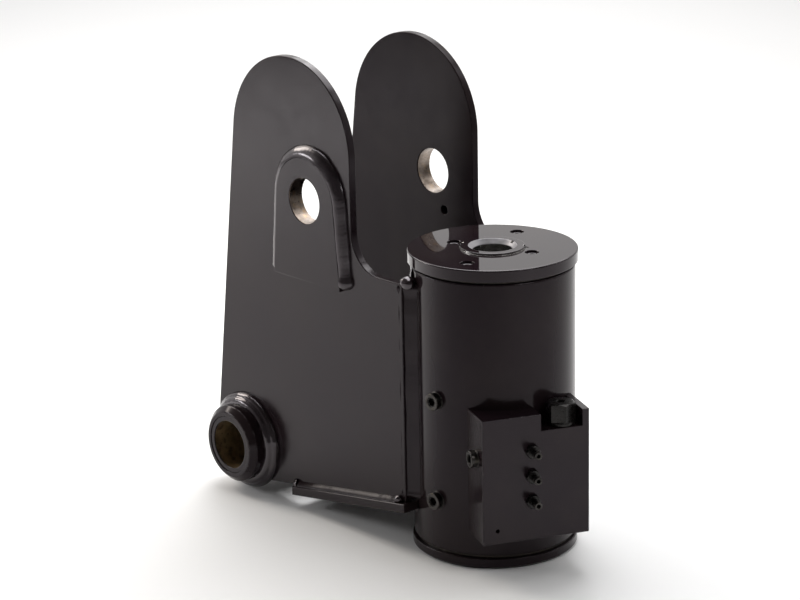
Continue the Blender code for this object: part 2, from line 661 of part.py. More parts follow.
def make_shaft():
    shoulder_z = UPPER_JOURNAL_Z - 2 * GAP
    profile = [(SHAFT_BORE_R, SHAFT_TOP_Z - SHAFT_BORE_BEVEL), (SHAFT_BORE_R + SHAFT_BORE_BEVEL, SHAFT_TOP_Z),
               (THREAD_R - RIM_BEVEL, SHAFT_TOP_Z), (THREAD_R, SHAFT_TOP_Z - RIM_BEVEL), (THREAD_R, shoulder_z),
               (SHAFT_R, shoulder_z), (SHAFT_R, LOWER_JOURNAL_Z), (JOURNAL_R, LOWER_JOURNAL_Z)]
    profile += groove(JOURNAL_R, SEAL_GROOVE_R, LOWER_SEAL_Z)
    profile += groove(JOURNAL_R, WEAR_GROOVE_R, LOWER_WEAR_Z)
    profile += [(JOURNAL_R, FLANGE_T), (FLANGE_R - RIM_BEVEL, FLANGE_T), (FLANGE_R, FLANGE_T - RIM_BEVEL),
                (FLANGE_R, FLANGE_FOOT_BEVEL), (FLANGE_R - FLANGE_FOOT_BEVEL, 0), (SHAFT_BORE_R, 0)]
    shaft = on_axis(add_part("shaft", turned_mesh(profile, ROUND, closed=True), STEEL))
    teeth = on_axis(add_cutter("shaft_teeth", toothed_mesh(INNER_ROOT_R, INNER_CREST_R, INNER_TEETH,
                                                           *SHAFT_SPLINE_Z, -1)))
    bore = on_axis(add_cutter("shaft_teeth_bore", rod_mesh(SHAFT_R - 0.002, 0, SHAFT_TOP_Z, 32)))
    join(teeth, bore, "DIFFERENCE")
    join(shaft, teeth, "UNION")
    for index, degrees in enumerate(LOCK_PIN_ANGLES):
        join(shaft, lock_pin_cutter(f"shaft_pin_hole_{index}", degrees), "DIFFERENCE")
    for index in range(FLANGE_HOLES):
        place = polar(FLANGE_HOLE_CIRCLE_R, 360 * (index + 0.5) / FLANGE_HOLES)
        drill(shaft, f"flange_hole_{index}", place, (0, 0, -1), FLANGE_HOLE_R, FLANGE_HOLE_DEPTH, 8)


def groove(surface_r, floor_r, heights):
    """Profile points of a groove in an outer surface, top edge first."""
    low, high = heights
    return [(surface_r, high), (floor_r, high), (floor_r, low), (surface_r, low)]


def make_cap():
    bore = THREAD_R + GAP
    profile = [(bore, CAP_TOP_Z), (CAP_R - CAP_TOP_BEVEL, CAP_TOP_Z), (CAP_R, CAP_TOP_Z - CAP_TOP_BEVEL),
               (CAP_R, CAP_BOTTOM_Z + CAP_FOOT_BEVEL), (CAP_R - CAP_FOOT_BEVEL, CAP_BOTTOM_Z),
               (JOURNAL_R, CAP_BOTTOM_Z)]
    profile += groove(JOURNAL_R, WEAR_GROOVE_R, UPPER_WEAR_Z)
    profile += groove(JOURNAL_R, SEAL_GROOVE_R, UPPER_SEAL_Z)
    profile += [(JOURNAL_R, UPPER_JOURNAL_Z), (bore, UPPER_JOURNAL_Z), (bore, CAP_RING_Z[0]),
                (bore + CAP_RING_DEPTH, CAP_RING_Z[0]), (bore + CAP_RING_DEPTH, CAP_RING_Z[1]),
                (bore, CAP_RING_Z[1])]
    cap = on_axis(add_part("end_cap", turned_mesh(profile, ROUND, closed=True), PAINT))
    for index, degrees in enumerate(LOCK_PIN_ANGLES):
        join(cap, lock_pin_cutter(f"cap_pin_hole_{index}", degrees), "DIFFERENCE")
        pin = rod_mesh(LOCK_PIN_R, LOCK_PIN_BOTTOM_Z + GAP, CAP_TOP_Z - GAP, 12)
        add_part(f"lock_pin_{index + 1}", pin, DARK_STEEL).location = polar(LOCK_PIN_CIRCLE_R, degrees)
    screw = cap_screw_mesh()
    up = (0, 0, 1)
    for index, (radius, degrees) in enumerate(CAP_SCREW_PLACES):
        mouth = polar(radius, degrees, CAP_TOP_Z)
        drill(cap, f"counterbore_{index}", mouth, up, COUNTERBORE_R, COUNTERBORE_DEPTH, 12)
        drill(cap, f"screw_hole_{index}", mouth, up, CAP_SCREW_R + GAP,
              COUNTERBORE_DEPTH + CAP_SCREW_HOLE_DEPTH, 10)
        top = mouth - Vector((0, 0, COUNTERBORE_DEPTH + GAP))
        add_part(f"cap_screw_{index + 1}", screw.copy(), DARK_STEEL).location = top


def cap_screw_mesh():
    """A set screw with a hexagon socket, its top at z = 0."""
    body = add_cutter("set_screw_blank", rod_mesh(CAP_SCREW_R, -CAP_SCREW_LENGTH, 0, 12))
    socket = add_cutter("set_screw_socket", hexagon_mesh(CAP_SCREW_R, -CAP_SCREW_SOCKET_DEPTH, OVERRUN))
    join(body, socket, "DIFFERENCE")
    return mesh_of(body)


def make_journal_rings():
    """Wear rings and seals in the grooves of the two journals, and the static ring between cap and shaft."""
    rings = (("wear_ring_lower", WEAR_GROOVE_R, LOWER_WEAR_Z, BRONZE),
             ("wear_ring_upper", WEAR_GROOVE_R, UPPER_WEAR_Z, BRONZE),
             ("shaft_seal", SEAL_GROOVE_R, LOWER_SEAL_Z, SEAL),
             ("cap_seal", SEAL_GROOVE_R, UPPER_SEAL_Z, SEAL))
    for name, floor_r, (low, high), look in rings:
        shape = ring_mesh(floor_r + GAP, BARREL_BORE_R - GAP, low + GAP, high - GAP, 36)
        on_axis(add_part(name, shape, look))
    outer = THREAD_R + CAP_RING_DEPTH
    shape = ring_mesh(THREAD_R + GAP, outer, CAP_RING_Z[0] + GAP, CAP_RING_Z[1] - GAP, 32)
    on_axis(add_part("cap_o_ring", shape, SEAL))


# ---- piston

def make_piston():
    outer = toothed_mesh(OUTER_ROOT_R, OUTER_CREST_R, OUTER_TEETH, HEAD_Z[1] - OVERRUN, SLEEVE_TOP_Z, 1)
    sleeve = on_axis(add_part("piston_sleeve", outer, STEEL))
    head = [(0, HEAD_Z[1]), (JOURNAL_R, HEAD_Z[1])]
    head += groove(JOURNAL_R, SEAL_GROOVE_R, HEAD_SEAL_Z)
    head += groove(JOURNAL_R, WEAR_GROOVE_R, HEAD_GUIDE_Z)
    head += [(JOURNAL_R, HEAD_Z[0]), (0, HEAD_Z[0])]
    join(sleeve, on_axis(add_cutter("piston_head", turned_mesh(head, 32, closed=False))), "UNION")
    rim_r = SHAFT_R + 2 * GAP
    bore = [(0, SLEEVE_TOP_Z + OVERRUN), (rim_r, SLEEVE_TOP_Z + OVERRUN), (rim_r, ROD_SEAL_Z[1]),
            (ROD_SEAL_R, ROD_SEAL_Z[1]), (ROD_SEAL_R, ROD_SEAL_Z[0]), (rim_r, ROD_SEAL_Z[0]),
            (rim_r, SLEEVE_BORE_Z[1]), (SLEEVE_BORE_R, SLEEVE_BORE_Z[1] - SLEEVE_BORE_TAPER),
            (SLEEVE_BORE_R, SLEEVE_BORE_Z[0]), (0, SLEEVE_BORE_Z[0])]
    join(sleeve, on_axis(add_cutter("sleeve_bore", turned_mesh(bore, 28, closed=False))), "DIFFERENCE")
    inner = toothed_mesh(INNER_ROOT_R + RADIAL_CLEARANCE, INNER_CREST_R + RADIAL_CLEARANCE, INNER_TEETH,
                         HEAD_Z[0] - OVERRUN, SLEEVE_BORE_Z[0] + OVERRUN, -1, FLANK_CLEARANCE)
    join(sleeve, on_axis(add_cutter("sleeve_inner_teeth", inner)), "DIFFERENCE")
    for name, floor_r, (low, high), look in (("piston_seal", SEAL_GROOVE_R, HEAD_SEAL_Z, SEAL),
                                             ("piston_guide_ring", WEAR_GROOVE_R, HEAD_GUIDE_Z, BRONZE)):
        shape = ring_mesh(floor_r + GAP, BARREL_BORE_R - GAP, low + GAP, high - GAP, 36)
        on_axis(add_part(name, shape, look))
    shape = ring_mesh(SHAFT_R + GAP, ROD_SEAL_R - 2 * GAP, ROD_SEAL_Z[0] + GAP, ROD_SEAL_Z[1] - GAP, 32)
    on_axis(add_part("piston_inner_seal", shape, SEAL))


make_bracket()
make_cross_bush()
make_barrel()
make_port_plugs()
make_block()
make_cartridge()
make_fittings()
make_shaft()
make_cap()
make_journal_rings()
make_piston()
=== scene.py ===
import math

import bmesh
import bpy
import numpy as np
from mathutils import Matrix, Vector, noise


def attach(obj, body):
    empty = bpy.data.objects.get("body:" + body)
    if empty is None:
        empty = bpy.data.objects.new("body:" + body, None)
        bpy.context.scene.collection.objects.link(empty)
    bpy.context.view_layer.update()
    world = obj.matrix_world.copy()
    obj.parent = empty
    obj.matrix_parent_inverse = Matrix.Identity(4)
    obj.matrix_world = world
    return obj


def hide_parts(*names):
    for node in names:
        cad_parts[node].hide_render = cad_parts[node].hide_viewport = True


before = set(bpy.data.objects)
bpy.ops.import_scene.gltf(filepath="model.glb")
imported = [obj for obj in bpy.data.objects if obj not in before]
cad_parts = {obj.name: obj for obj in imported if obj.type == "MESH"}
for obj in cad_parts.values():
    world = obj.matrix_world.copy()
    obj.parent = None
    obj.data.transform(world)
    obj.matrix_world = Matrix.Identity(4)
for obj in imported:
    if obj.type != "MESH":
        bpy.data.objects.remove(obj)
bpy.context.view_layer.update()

# ---- sizes, in metres, as the CAD has them
AXIS_X = 0.1305
BARREL_R = 0.095
BARREL_BOTTOM_Z, BARREL_TOP_Z = 0.016, 0.341
BARREL_BORE_R = 0.076
FLANGE_R, FLANGE_T = 0.097, 0.0125
CAP_R = 0.0982
CAP_BOTTOM_Z, CAP_TOP_Z = 0.3442, 0.358
JOURNAL_R, THREAD_R, SHAFT_R, SHAFT_BORE_R = 0.0754, 0.0375, 0.042, 0.023
SHAFT_TOP_Z, SHAFT_SHOULDER_Z, SHAFT_STEP_Z = 0.3605, 0.3114, 0.050
CAP_FOOT_Z, O_RING_FLOOR, O_RING_Z = 0.312, 0.003, (0.317, 0.321)
SEAL_FLOOR_R, CAP_SEAL_Z, SHAFT_SEAL_Z = 0.0702, (0.324, 0.315), (0.0465, 0.0375)
WEAR_FLOOR_R, CAP_WEAR_Z, SHAFT_WEAR_Z = 0.0732, (0.340, 0.328), (0.032, 0.019)
FLANGE_HOLES, FLANGE_HOLE_CIRCLE_R, FLANGE_HOLE_R = 8, 0.060, 0.0069
SPLINE_ROOT_R, SPLINE_CREST_R, SPLINE_TEETH, SPLINE_LEAD = 0.0432, 0.0482, 8, 0.320
SPLINE_Z = (0.056, 0.180)
TOOTH_ROOT_SHARE, TOOTH_CREST_SHARE = 0.28, 0.20  # half a tooth, as a share of the pitch
CAP_SCREW_PLACES = ((0.050, 20), (0.0705, 113), (0.050, 200), (0.0705, 293))
COUNTERBORE_R, COUNTERBORE_DEPTH, SCREW_R, SCREW_LENGTH = 0.008, 0.0025, 0.005, 0.008
LOCK_PIN_ANGLES, LOCK_PIN_CIRCLE_R, LOCK_PIN_R = (42, 210), 0.0382, 0.003
NOTCH_R, NOTCH_DEPTH, NOTCH_PLACE = 0.0024, 0.0022, (0.0272, 80.5)
HOLE_PLAY = 0.0002
UP = (0, 0, 1)
PLATE_T, PLATE_OUTER_Y = 0.010, 0.101
PLATE_END_X, PLATE_TOP_Z, PLATE_FILLET_R = -0.044, 0.3245, 0.045
FOOT_SLOPE = math.radians(9.4)
FOOT_X, FOOT_Z = -0.246, 0.0267
EAR_X, EAR_Z, EAR_R = -0.2397, 0.4525, 0.1081
PIN_X, PIN_Z, PIN_HOLE_R = -0.2032, 0.3954, 0.0275
KEEPER_X, KEEPER_Z, KEEPER_R = -0.183, 0.3495, 0.0055
BOSS_R, BOSS_T, BOSS_BOTTOM_Z = 0.052, 0.010, 0.297
BOSS_FLARE = math.radians(5)
FOOT_PLATE_T, FOOT_PLATE_HALF_Y, FOOT_PLATE_END_X = 0.0108, 0.1095, -0.038
BUSH_X, BUSH_Z, BUSH_EYE_R = -0.3399, 0.0618, 0.0599
TUBE_R, TUBE_HALF_Y, TUBE_BORE_R = 0.0484, 0.132, 0.0363
BRONZE_BORE_R, BRONZE_LENGTH = 0.030, 0.045
BLOCK_TURN = math.radians(-22.9)
BLOCK_BACK, BLOCK_FRONT = 0.055, 0.1235
BLOCK_WIDTH = (-0.0595, 0.0697)
BLOCK_Z = (0.0445, 0.194)
BLOCK_CORNER_R, BLOCK_RIM_R = 0.0016, 0.0010
POCKET_WIDTH, POCKET_FLOOR_Z = (0.0108, 0.0612), 0.174
CARTRIDGE_PLACE, CARTRIDGE_HEX, CARTRIDGE_TOP_Z = (0.105, 0.042), 0.030, 0.200
FITTING_HEIGHTS, FITTING_HEX = (0.092, 0.122, 0.152), 0.0145
BLOCK_PLUG_PLACE = (0.103, 0.144)
SIDE_PORT_PLACES, SIDE_PORT_R = ((0.101, 0.085), (0.101, 0.140)), 0.0095
TAG_HOLE = (-0.0419, 0.0604, 0.0022)
PORT_ANGLE, PORT_HEIGHTS = math.radians(-87), (0.075, 0.196)
GAP = 0.0003

# ---- barrel welds: each one's root, from the barrel's axis, and its two legs
OUTER_ROOT, OUTER_LEGS = (-0.0445, 0.0870), (0.0148314, 0.0142773)
INNER_ROOT, INNER_LEGS = (-0.0485, 0.0835), (0.0112, 0.006)
RUN_OUT_ROOT, RUN_OUT_LEG = (-0.0440, 0.0842), 0.0042
BARREL_FOOT_LEG, BARREL_FOOT_END_X = 0.0055, -0.0385


# ---- materials: every one is node based, in metres of the object's own space
# Painted light: a purple tint on every paint's reflections, standing in for the colour cast of the studio
# light
LIGHT_CAST_TINT = (1.0, 0.93, 0.985, 1.0)
PAINT_DARK, PAINT_LIGHT = (0.0100, 0.0058, 0.0078), (0.0150, 0.0100, 0.0105)
DUST, WORN_STEEL, WEAR_SHARE = (0.050, 0.045, 0.042), (0.16, 0.15, 0.145), 0.16


def add_node(tree, kind, inputs=None, **settings):
    """A shader node. Each input is a value, or a socket that is wired to it."""
    made = tree.nodes.new(kind)
    for key, value in settings.items():
        setattr(made, key, value)
    for key, value in (inputs or {}).items():
        if isinstance(value, bpy.types.NodeSocket):
            tree.links.new(value, made.inputs[key])
        else:
            made.inputs[key].default_value = value
    return made


def smooth_step(tree, value, between, ends):
    inputs = {"Value": value, "From Min": between[0], "From Max": between[1], "To Min": ends[0],
              "To Max": ends[1]}
    return add_node(tree, "ShaderNodeMapRange", inputs, interpolation_type="SMOOTHSTEP").outputs["Result"]


class Look:
    """A material being wired: short names for the nodes used again and again."""

    def __init__(self, name, metallic=0.0, specular=0.5):
        self.material = bpy.data.materials.new(name)
        self.material.use_nodes = True
        self.tree = self.material.node_tree
        self.shader = self.tree.nodes["Principled BSDF"]
        self.shader.inputs["Metallic"].default_value = metallic
        self.shader.inputs["Specular IOR Level"].default_value = specular
        self.place = self.node("ShaderNodeTexCoord").outputs["Object"]

    def node(self, kind, inputs=None, **settings):
        return add_node(self.tree, kind, inputs, **settings)

    def wire(self, start, end):
        self.tree.links.new(start, self.shader.inputs[end])

    def stretched(self, scale):
        """The object's coordinates, scaled differently along each axis."""
        return self.node("ShaderNodeMapping", {"Scale": scale, "Vector": self.place}).outputs["Vector"]

    def noise(self, scale, detail=3.0, roughness=0.55, place=None):
        inputs = {"Scale": scale, "Detail": detail, "Roughness": roughness, "Vector": place or self.place}
        return self.node("ShaderNodeTexNoise", inputs).outputs["Fac"]

    def ramp(self, value, low, high, out_low=0.0, out_high=1.0):
        return smooth_step(self.tree, value, (low, high), (out_low, out_high))

    def times(self, first, second):
        return self.node("ShaderNodeMath", {0: first, 1: second}, operation="MULTIPLY").outputs[0]

    def plus(self, first, second):
        inputs = {0: first, 1: second}
        return self.node("ShaderNodeMath", inputs, operation="ADD", use_clamp=True).outputs[0]

    def mix(self, share, *ends):
        """Two colours or sockets, mixed by a socket."""
        first, second = [(*end, 1) if isinstance(end, tuple) else end for end in ends]
        inputs = {"Factor": share, 6: first, 7: second}
        return self.node("ShaderNodeMix", inputs, data_type="RGBA").outputs[2]

    def attribute(self, name):
        return self.node("ShaderNodeAttribute", attribute_name=name).outputs["Fac"]

    def colour(self, socket):
        self.wire(socket, "Base Color")

    def rough(self, socket):
        self.wire(socket, "Roughness")

    def bumps(self, *layers):
        """Layers of (height socket, distance in metres), each on top of the one before."""
        before = None
        for height, distance in layers:
            inputs = {"Strength": 1.0, "Distance": distance, "Height": height}
            if before is not None:
                inputs["Normal"] = before
            before = self.node("ShaderNodeBump", inputs).outputs["Normal"]
        self.wire(before, "Normal")


def paint_look(name, rough_low, rough_high, peel, specular, seed):
    """Gloss black enamel over steel: faint colour drift, orange peel, dust, rubbed edges, and a painted
    purple light cast in its reflections.
    """
    look = Look(name, specular=specular)
    # Painted light: the light's purple cast, set as the tint of this paint's reflections
    look.shader.inputs["Specular Tint"].default_value = LIGHT_CAST_TINT
    drift = look.noise(7.0 + seed, 4.0)
    cloud = look.noise(38.0 + 3 * seed, 5.0, 0.6)
    speck = look.ramp(look.noise(1900.0, 1.0), 0.735, 0.77)
    base = look.mix(look.ramp(drift, 0.35, 0.68), PAINT_DARK, PAINT_LIGHT)
    base = look.mix(look.times(speck, 0.35), base, DUST)
    chips = look.ramp(look.noise(210.0, 5.0, 0.7), 0.54, 0.66)
    worn = look.times(look.times(look.attribute("edge"), chips), WEAR_SHARE)
    look.colour(look.mix(worn, base, WORN_STEEL))
    smudge = look.ramp(cloud, 0.30, 0.72, rough_low, rough_high)
    look.rough(look.plus(smudge, look.times(worn, 0.25)))
    look.bumps((look.noise(60.0, 2.0), peel * 2.0), (look.noise(420.0, 2.0), peel))
    return look.material


def steel_look(name, dark, light, rough_low, rough_high, grain, metallic=1.0, tint=None):
    """Machined bare steel: tool lines along the turning, oil film, a little staining."""
    look = Look(name, metallic=metallic)
    cloud = look.noise(55.0, 5.0, 0.6)
    base = look.mix(look.ramp(cloud, 0.32, 0.70), dark, light)
    if tint:
        base = look.mix(look.ramp(look.noise(120.0, 4.0), 0.50, 0.72), base, tint)
    look.colour(base)
    cut = look.noise(1.0, 3.0, place=look.stretched(grain))
    look.rough(look.ramp(look.noise(160.0, 4.0), 0.25, 0.75, rough_low, rough_high))
    look.bumps((cut, 0.000012), (look.noise(600.0, 2.0), 0.000006))
    return look.material


def rubber_look(name):
    look = Look(name, specular=0.4)
    look.colour(look.mix(look.noise(300.0), (0.010, 0.022, 0.035), (0.020, 0.040, 0.060)))
    look.rough(look.ramp(look.noise(500.0), 0.3, 0.7, 0.45, 0.62))
    look.bumps((look.noise(900.0), 0.00002),)
    return look.material


def floor_look():
    look = Look("floor_paper", specular=0.2)
    look.colour(look.mix(look.noise(1.3, 3.0), (0.86, 0.86, 0.86), (0.885, 0.885, 0.885)))
    look.rough(look.ramp(look.noise(3.0), 0.3, 0.7, 0.62, 0.75))
    look.bumps((look.noise(260.0, 2.0), 0.00003),)
    return look.material


PLATE_PAINT = paint_look("plate_paint", 0.17, 0.24, 0.000010, 0.23, 0.0)
# Painted shade: the far plate's copy of the plate paint, made far less reflective so that it looks darker
SHADED_PLATE_PAINT = paint_look("shaded_plate_paint", 0.17, 0.24, 0.000010, 0.08, 0.7)
TURNED_PAINT = paint_look("turned_paint", 0.11, 0.17, 0.000005, 0.18, 1.3)
CAP_PAINT = paint_look("cap_paint", 0.03, 0.05, 0.000002, 0.36, 2.1)
BLOCK_PAINT = paint_look("block_paint", 0.15, 0.22, 0.000006, 0.28, 3.7)
WELD_PAINT = paint_look("weld_paint", 0.15, 0.22, 0.000006, 0.80, 5.1)
SEAM_WELD_PAINT = paint_look("seam_weld_paint", 0.16, 0.24, 0.000008, 0.28, 6.3)
# Painted shade: a copy of the weld paint for the foot welds, made far less reflective so that they look
# darker
SHADED_WELD_PAINT = paint_look("shaded_foot_weld_paint", 0.18, 0.28, 0.000008, 0.10, 7.1)
BORE_STEEL = steel_look("bored_steel", (0.10, 0.08, 0.065), (0.26, 0.22, 0.19), 0.24, 0.40, (9, 900, 9),
                        tint=(0.24, 0.17, 0.11))
FACED_STEEL = steel_look("faced_steel", (0.20, 0.195, 0.205), (0.30, 0.29, 0.305), 0.38, 0.50,
                         (35, 35, 1600), metallic=0.35)
SHAFT_STEEL = steel_look("ground_steel", (0.40, 0.39, 0.38), (0.56, 0.55, 0.54), 0.16, 0.28, (12, 12, 1400))
SPLINE_STEEL = steel_look("cut_steel", (0.26, 0.25, 0.24), (0.42, 0.41, 0.39), 0.25, 0.42, (240, 240, 30),
                          tint=(0.20, 0.16, 0.11))
BRONZE = steel_look("bearing_bronze", (0.24, 0.165, 0.085), (0.42, 0.31, 0.17), 0.30, 0.46, (9, 1100, 9),
                    metallic=0.8, tint=(0.17, 0.115, 0.065))
BLACK_STEEL = steel_look("blackened_steel", (0.006, 0.0055, 0.005), (0.020, 0.018, 0.017), 0.20, 0.34,
                         (400, 400, 400), metallic=0.6)
ZINC_STEEL = steel_look("oiled_steel", (0.026, 0.024, 0.023), (0.062, 0.058, 0.055), 0.22, 0.36,
                        (300, 300, 300), tint=(0.050, 0.044, 0.032))
DULL_BRONZE = steel_look("oiled_bronze", (0.012, 0.009, 0.007), (0.030, 0.021, 0.014), 0.36, 0.50,
                         (200, 200, 200), metallic=0.4)
RUBBER = rubber_look("seal_rubber")


# ---- shapes

def link(obj):
    bpy.context.scene.collection.objects.link(obj)
    return obj


def helper(name, data):
    return link(bpy.data.objects.new(name, data))


def mesh_of(obj):
    """The object's evaluated mesh with its place in it; the object is removed."""
    graph = bpy.context.evaluated_depsgraph_get()
    made = bpy.data.meshes.new_from_object(obj.evaluated_get(graph))
    made.transform(obj.matrix_basis)
    bpy.data.objects.remove(obj)
    return made


def mark_edge(data, values):
    """Stores one number for each face: 1 where paint rubs off first."""
    layer = data.attributes.get("edge") or data.attributes.new("edge", "FLOAT", "FACE")
    layer.data.foreach_set("value", np.asarray(values, np.float32))


def finished(shape, name):
    """A mesh from a BMesh, which is freed."""
    data = bpy.data.meshes.new(name)
    shape.to_mesh(data)
    shape.free()
    return data


def turn_outward(data, weld=0.0):
    """Turns every face outward, after joining the points that lie nearer each other than weld."""
    shape = bmesh.new()
    shape.from_mesh(data)
    if weld:
        bmesh.ops.remove_doubles(shape, verts=shape.verts, dist=weld)
    bmesh.ops.recalc_face_normals(shape, faces=shape.faces)
    shape.to_mesh(data)
    shape.free()


def unworn(data):
    mark_edge(data, [0.0] * len(data.polygons))
    return data


def smooth(data, degrees=38):
    data.shade_smooth()
    data.set_sharp_from_angle(angle=math.radians(degrees))
    return data


def soften(profile, radius, closed):
    """Rounds the corners of (r, z) or (r, z, own radius) points. Returns (r, z, on_edge) points."""
    steps = 3
    count = len(profile)
    points = [np.array(p[:2], float) for p in profile]
    radii = [p[2] if len(p) > 2 else radius for p in profile]
    made = []
    for i in range(count):
        here = points[i]
        if not closed and i in (0, count - 1):
            made.append((*here, 0))
            continue
        back, ahead = points[i - 1] - here, points[(i + 1) % count] - here
        lengths = np.linalg.norm(back), np.linalg.norm(ahead)
        cut = min(radii[i], 0.42 * lengths[0], 0.42 * lengths[1])
        straight = abs(back @ ahead) / (lengths[0] * lengths[1]) > 0.996
        if cut < 1e-5 or straight:
            made.append((*here, 0))
            continue
        start, end = here + back / lengths[0] * cut, here + ahead / lengths[1] * cut
        support = min(0.0006, 0.1 * cut + 0.0001)
        made.append((*(here + back / lengths[0] * (cut + support)), 0))
        for k in range(steps + 1):
            t = k / steps
            point = (1 - t) ** 2 * start + 2 * t * (1 - t) * here + t * t * end
            made.append((*point, 1 if k < steps else 0))
        made.append((*(here + ahead / lengths[1] * (cut + support)), 0))
    return made


def turned(profile, segments, rounding=0.0, closed=True, slot_of=None):
    """Turns (r, z) points about Z into a mesh. With a rounding radius, their corners are softened first."""
    if rounding:
        profile = soften(profile, rounding, closed)
    count = len(profile)
    verts, rings = [], []
    for point in profile:
        r, z = point[:2]
        if r < 1e-7:
            rings.append([len(verts)] * segments)
            verts.append((0, 0, z))
            continue
        rings.append(list(range(len(verts), len(verts) + segments)))
        for i in range(segments):
            a = 2 * math.pi * i / segments
            verts.append((r * math.cos(a), r * math.sin(a), z))
    faces, edge, slots = [], [], []
    last = count if closed else count - 1
    for j in range(last):
        k = (j + 1) % count
        a_ring, b_ring = rings[j], rings[k]
        worn = profile[j][2] if len(profile[j]) > 2 else 0
        middle = ((profile[j][0] + profile[k][0]) / 2, (profile[j][1] + profile[k][1]) / 2)
        for i in range(segments):
            n = (i + 1) % segments
            corners = [a_ring[i], b_ring[i], b_ring[n], a_ring[n]]
            corners = list(dict.fromkeys(corners))
            if len(corners) < 3:
                continue
            faces.append(corners)
            edge.append(worn)
            slots.append(slot_of(*middle) if slot_of else 0)
    data = bpy.data.meshes.new("turned")
    data.from_pydata(verts, [], faces)
    mark_edge(data, edge)
    data.polygons.foreach_set("material_index", slots)
    turn_outward(data)
    return smooth(data)


def on_axis(data):
    data.transform(Matrix.Translation((AXIS_X, 0, 0)))
    return data


def stand(data, point, direction):
    """Stands a mesh drawn about Z on a point, its +Z along the direction."""
    turn = Vector(direction).to_track_quat("Z", "Y").to_matrix().to_4x4()
    data.transform(Matrix.Translation(point) @ turn)
    return data


def along_y(data, side):
    return stand(data, (AXIS_X + BUSH_X, 0, BUSH_Z), (0, side, 0))


def arc(centre, radius, start, end, steps):
    angles = [math.radians(start + (end - start) * i / steps) for i in range(steps + 1)]
    return [(centre[0] + radius * math.cos(a), centre[1] + radius * math.sin(a)) for a in angles]


def circle(centre, radius, steps):
    return arc(centre, radius, 0, 360 * (steps - 1) / steps, steps - 1)


def upright_plate(outlines, y, thickness, edge_r):
    """A plate in the XZ plane with rounded edges, drawn from the barrel's axis."""
    data = bpy.data.curves.new("plate", "CURVE")
    data.dimensions = "2D"
    data.fill_mode = "BOTH"
    data.extrude = thickness / 2 - edge_r
    data.bevel_depth = edge_r
    data.bevel_resolution = 2
    data.offset = -edge_r
    for outline in outlines:
        spline = data.splines.new("POLY")
        spline.points.add(len(outline) - 1)
        for point, (x, z) in zip(spline.points, outline):
            point.co = (x, z, 0, 1)
        spline.use_cyclic_u = True
    obj = helper("plate", data)
    obj.location = (AXIS_X, y, 0)
    obj.rotation_euler = (math.pi / 2, 0, 0)
    bpy.context.view_layer.update()
    made = mesh_of(obj)
    turn_outward(made, weld=0.000001)
    return mark_rim(made)


def mark_rim(data):
    """Marks the faces that lie between a plate's flat sides and its rim."""
    mark_edge(data, [float(0.12 < abs(face.normal.y) < 0.95) for face in data.polygons])
    return smooth(data, 40)


def box_cutter(name, low, high, corner=0.0, rim=0.0):
    """A box in the block's own frame, its upright edges rounded, then those of its top and bottom."""
    shape = bmesh.new()
    bmesh.ops.create_cube(shape, size=1)
    low, high = Vector(low), Vector(high)
    bmesh.ops.scale(shape, vec=high - low, verts=shape.verts)
    bmesh.ops.translate(shape, vec=(low + high) / 2, verts=shape.verts)
    if corner:
        upright = [e for e in shape.edges if abs(e.verts[0].co.z - e.verts[1].co.z) > 1e-6]
        bmesh.ops.bevel(shape, geom=upright, offset=corner, segments=4, profile=0.5, affect="EDGES")
    if rim:
        level = [e for e in shape.edges if len(e.link_faces) == 2
                 and max(abs(face.normal.z) for face in e.link_faces) > 0.9
                 and min(abs(face.normal.z) for face in e.link_faces) < 0.1]
        bmesh.ops.bevel(shape, geom=level, offset=rim, segments=3, profile=0.5, affect="EDGES")
    return helper(name, finished(shape, name))


def hexagon(across_flats, bottom, top):
    data = turned([(0, top), (across_flats / math.sqrt(3), top), (across_flats / math.sqrt(3), bottom),
                   (0, bottom)], 6, closed=False)
    data.shade_flat()
    return data


def combine(data, cutters, operation="DIFFERENCE"):
    """Applies exact Booleans to a mesh and returns the result, keeping the edge marks."""
    while len(data.materials) < 4:
        data.materials.append(None)
    obj = helper("blank", data)
    for cutter in cutters:
        step = obj.modifiers.new(cutter.name, "BOOLEAN")
        step.operation = operation
        step.solver = "EXACT"
        step.object = cutter
    made = mesh_of(obj)
    for cutter in cutters:
        bpy.data.objects.remove(cutter)
    return made


def hex_socket(across_flats, top, depth):
    """A cutter for a hexagon socket, down from a height."""
    return helper("socket", stand(hexagon(across_flats, -depth, 0.004), (0, 0, top), UP))


def drill(name, point, direction, radius, depth, segments=40):
    """A cutter for a round hole with a small lead-in."""
    lead, above = 0.0004, 0.0010
    profile = [(0, above), (radius + lead + above, above), (radius, -lead), (radius, -depth),
               (0, -depth - radius * 0.5)]
    return helper(name, stand(turned(profile, segments, closed=False), point, direction))


# ---- pieces

def add(name, data, looks, slot, *replaced, body="housing"):
    """A finished piece: its materials, the body it moves with, and the CAD nodes it shows. The slot is not
    used.
    """
    data.name = name
    slots = [face.material_index for face in data.polygons]
    data.materials.clear()
    for look in looks if isinstance(looks, tuple) else (looks,):
        data.materials.append(look)
    data.polygons.foreach_set("material_index", slots)
    obj = helper(name, data)
    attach(obj, body)
    if replaced:
        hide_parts(*replaced)
    return obj


def weighted(obj):
    """Keeps large flat faces flat beside their small rounded edges."""
    step = obj.modifiers.new("weighted_normals", "WEIGHTED_NORMAL")
    step.keep_sharp = True
    step.weight = 90
    return obj


def block_point(depth, width, height):
    c, s = math.cos(BLOCK_TURN), math.sin(BLOCK_TURN)
    return Vector((AXIS_X + depth * c - width * s, depth * s + width * c, height))


BLOCK_OUT = Vector((math.cos(BLOCK_TURN), math.sin(BLOCK_TURN), 0))
BLOCK_SIDE = Vector((-math.sin(BLOCK_TURN), math.cos(BLOCK_TURN), 0))


def polar(radius, degrees, height=0.0):
    angle = math.radians(degrees)
    return Vector((AXIS_X + radius * math.cos(angle), radius * math.sin(angle), height))


# ---- weld beads

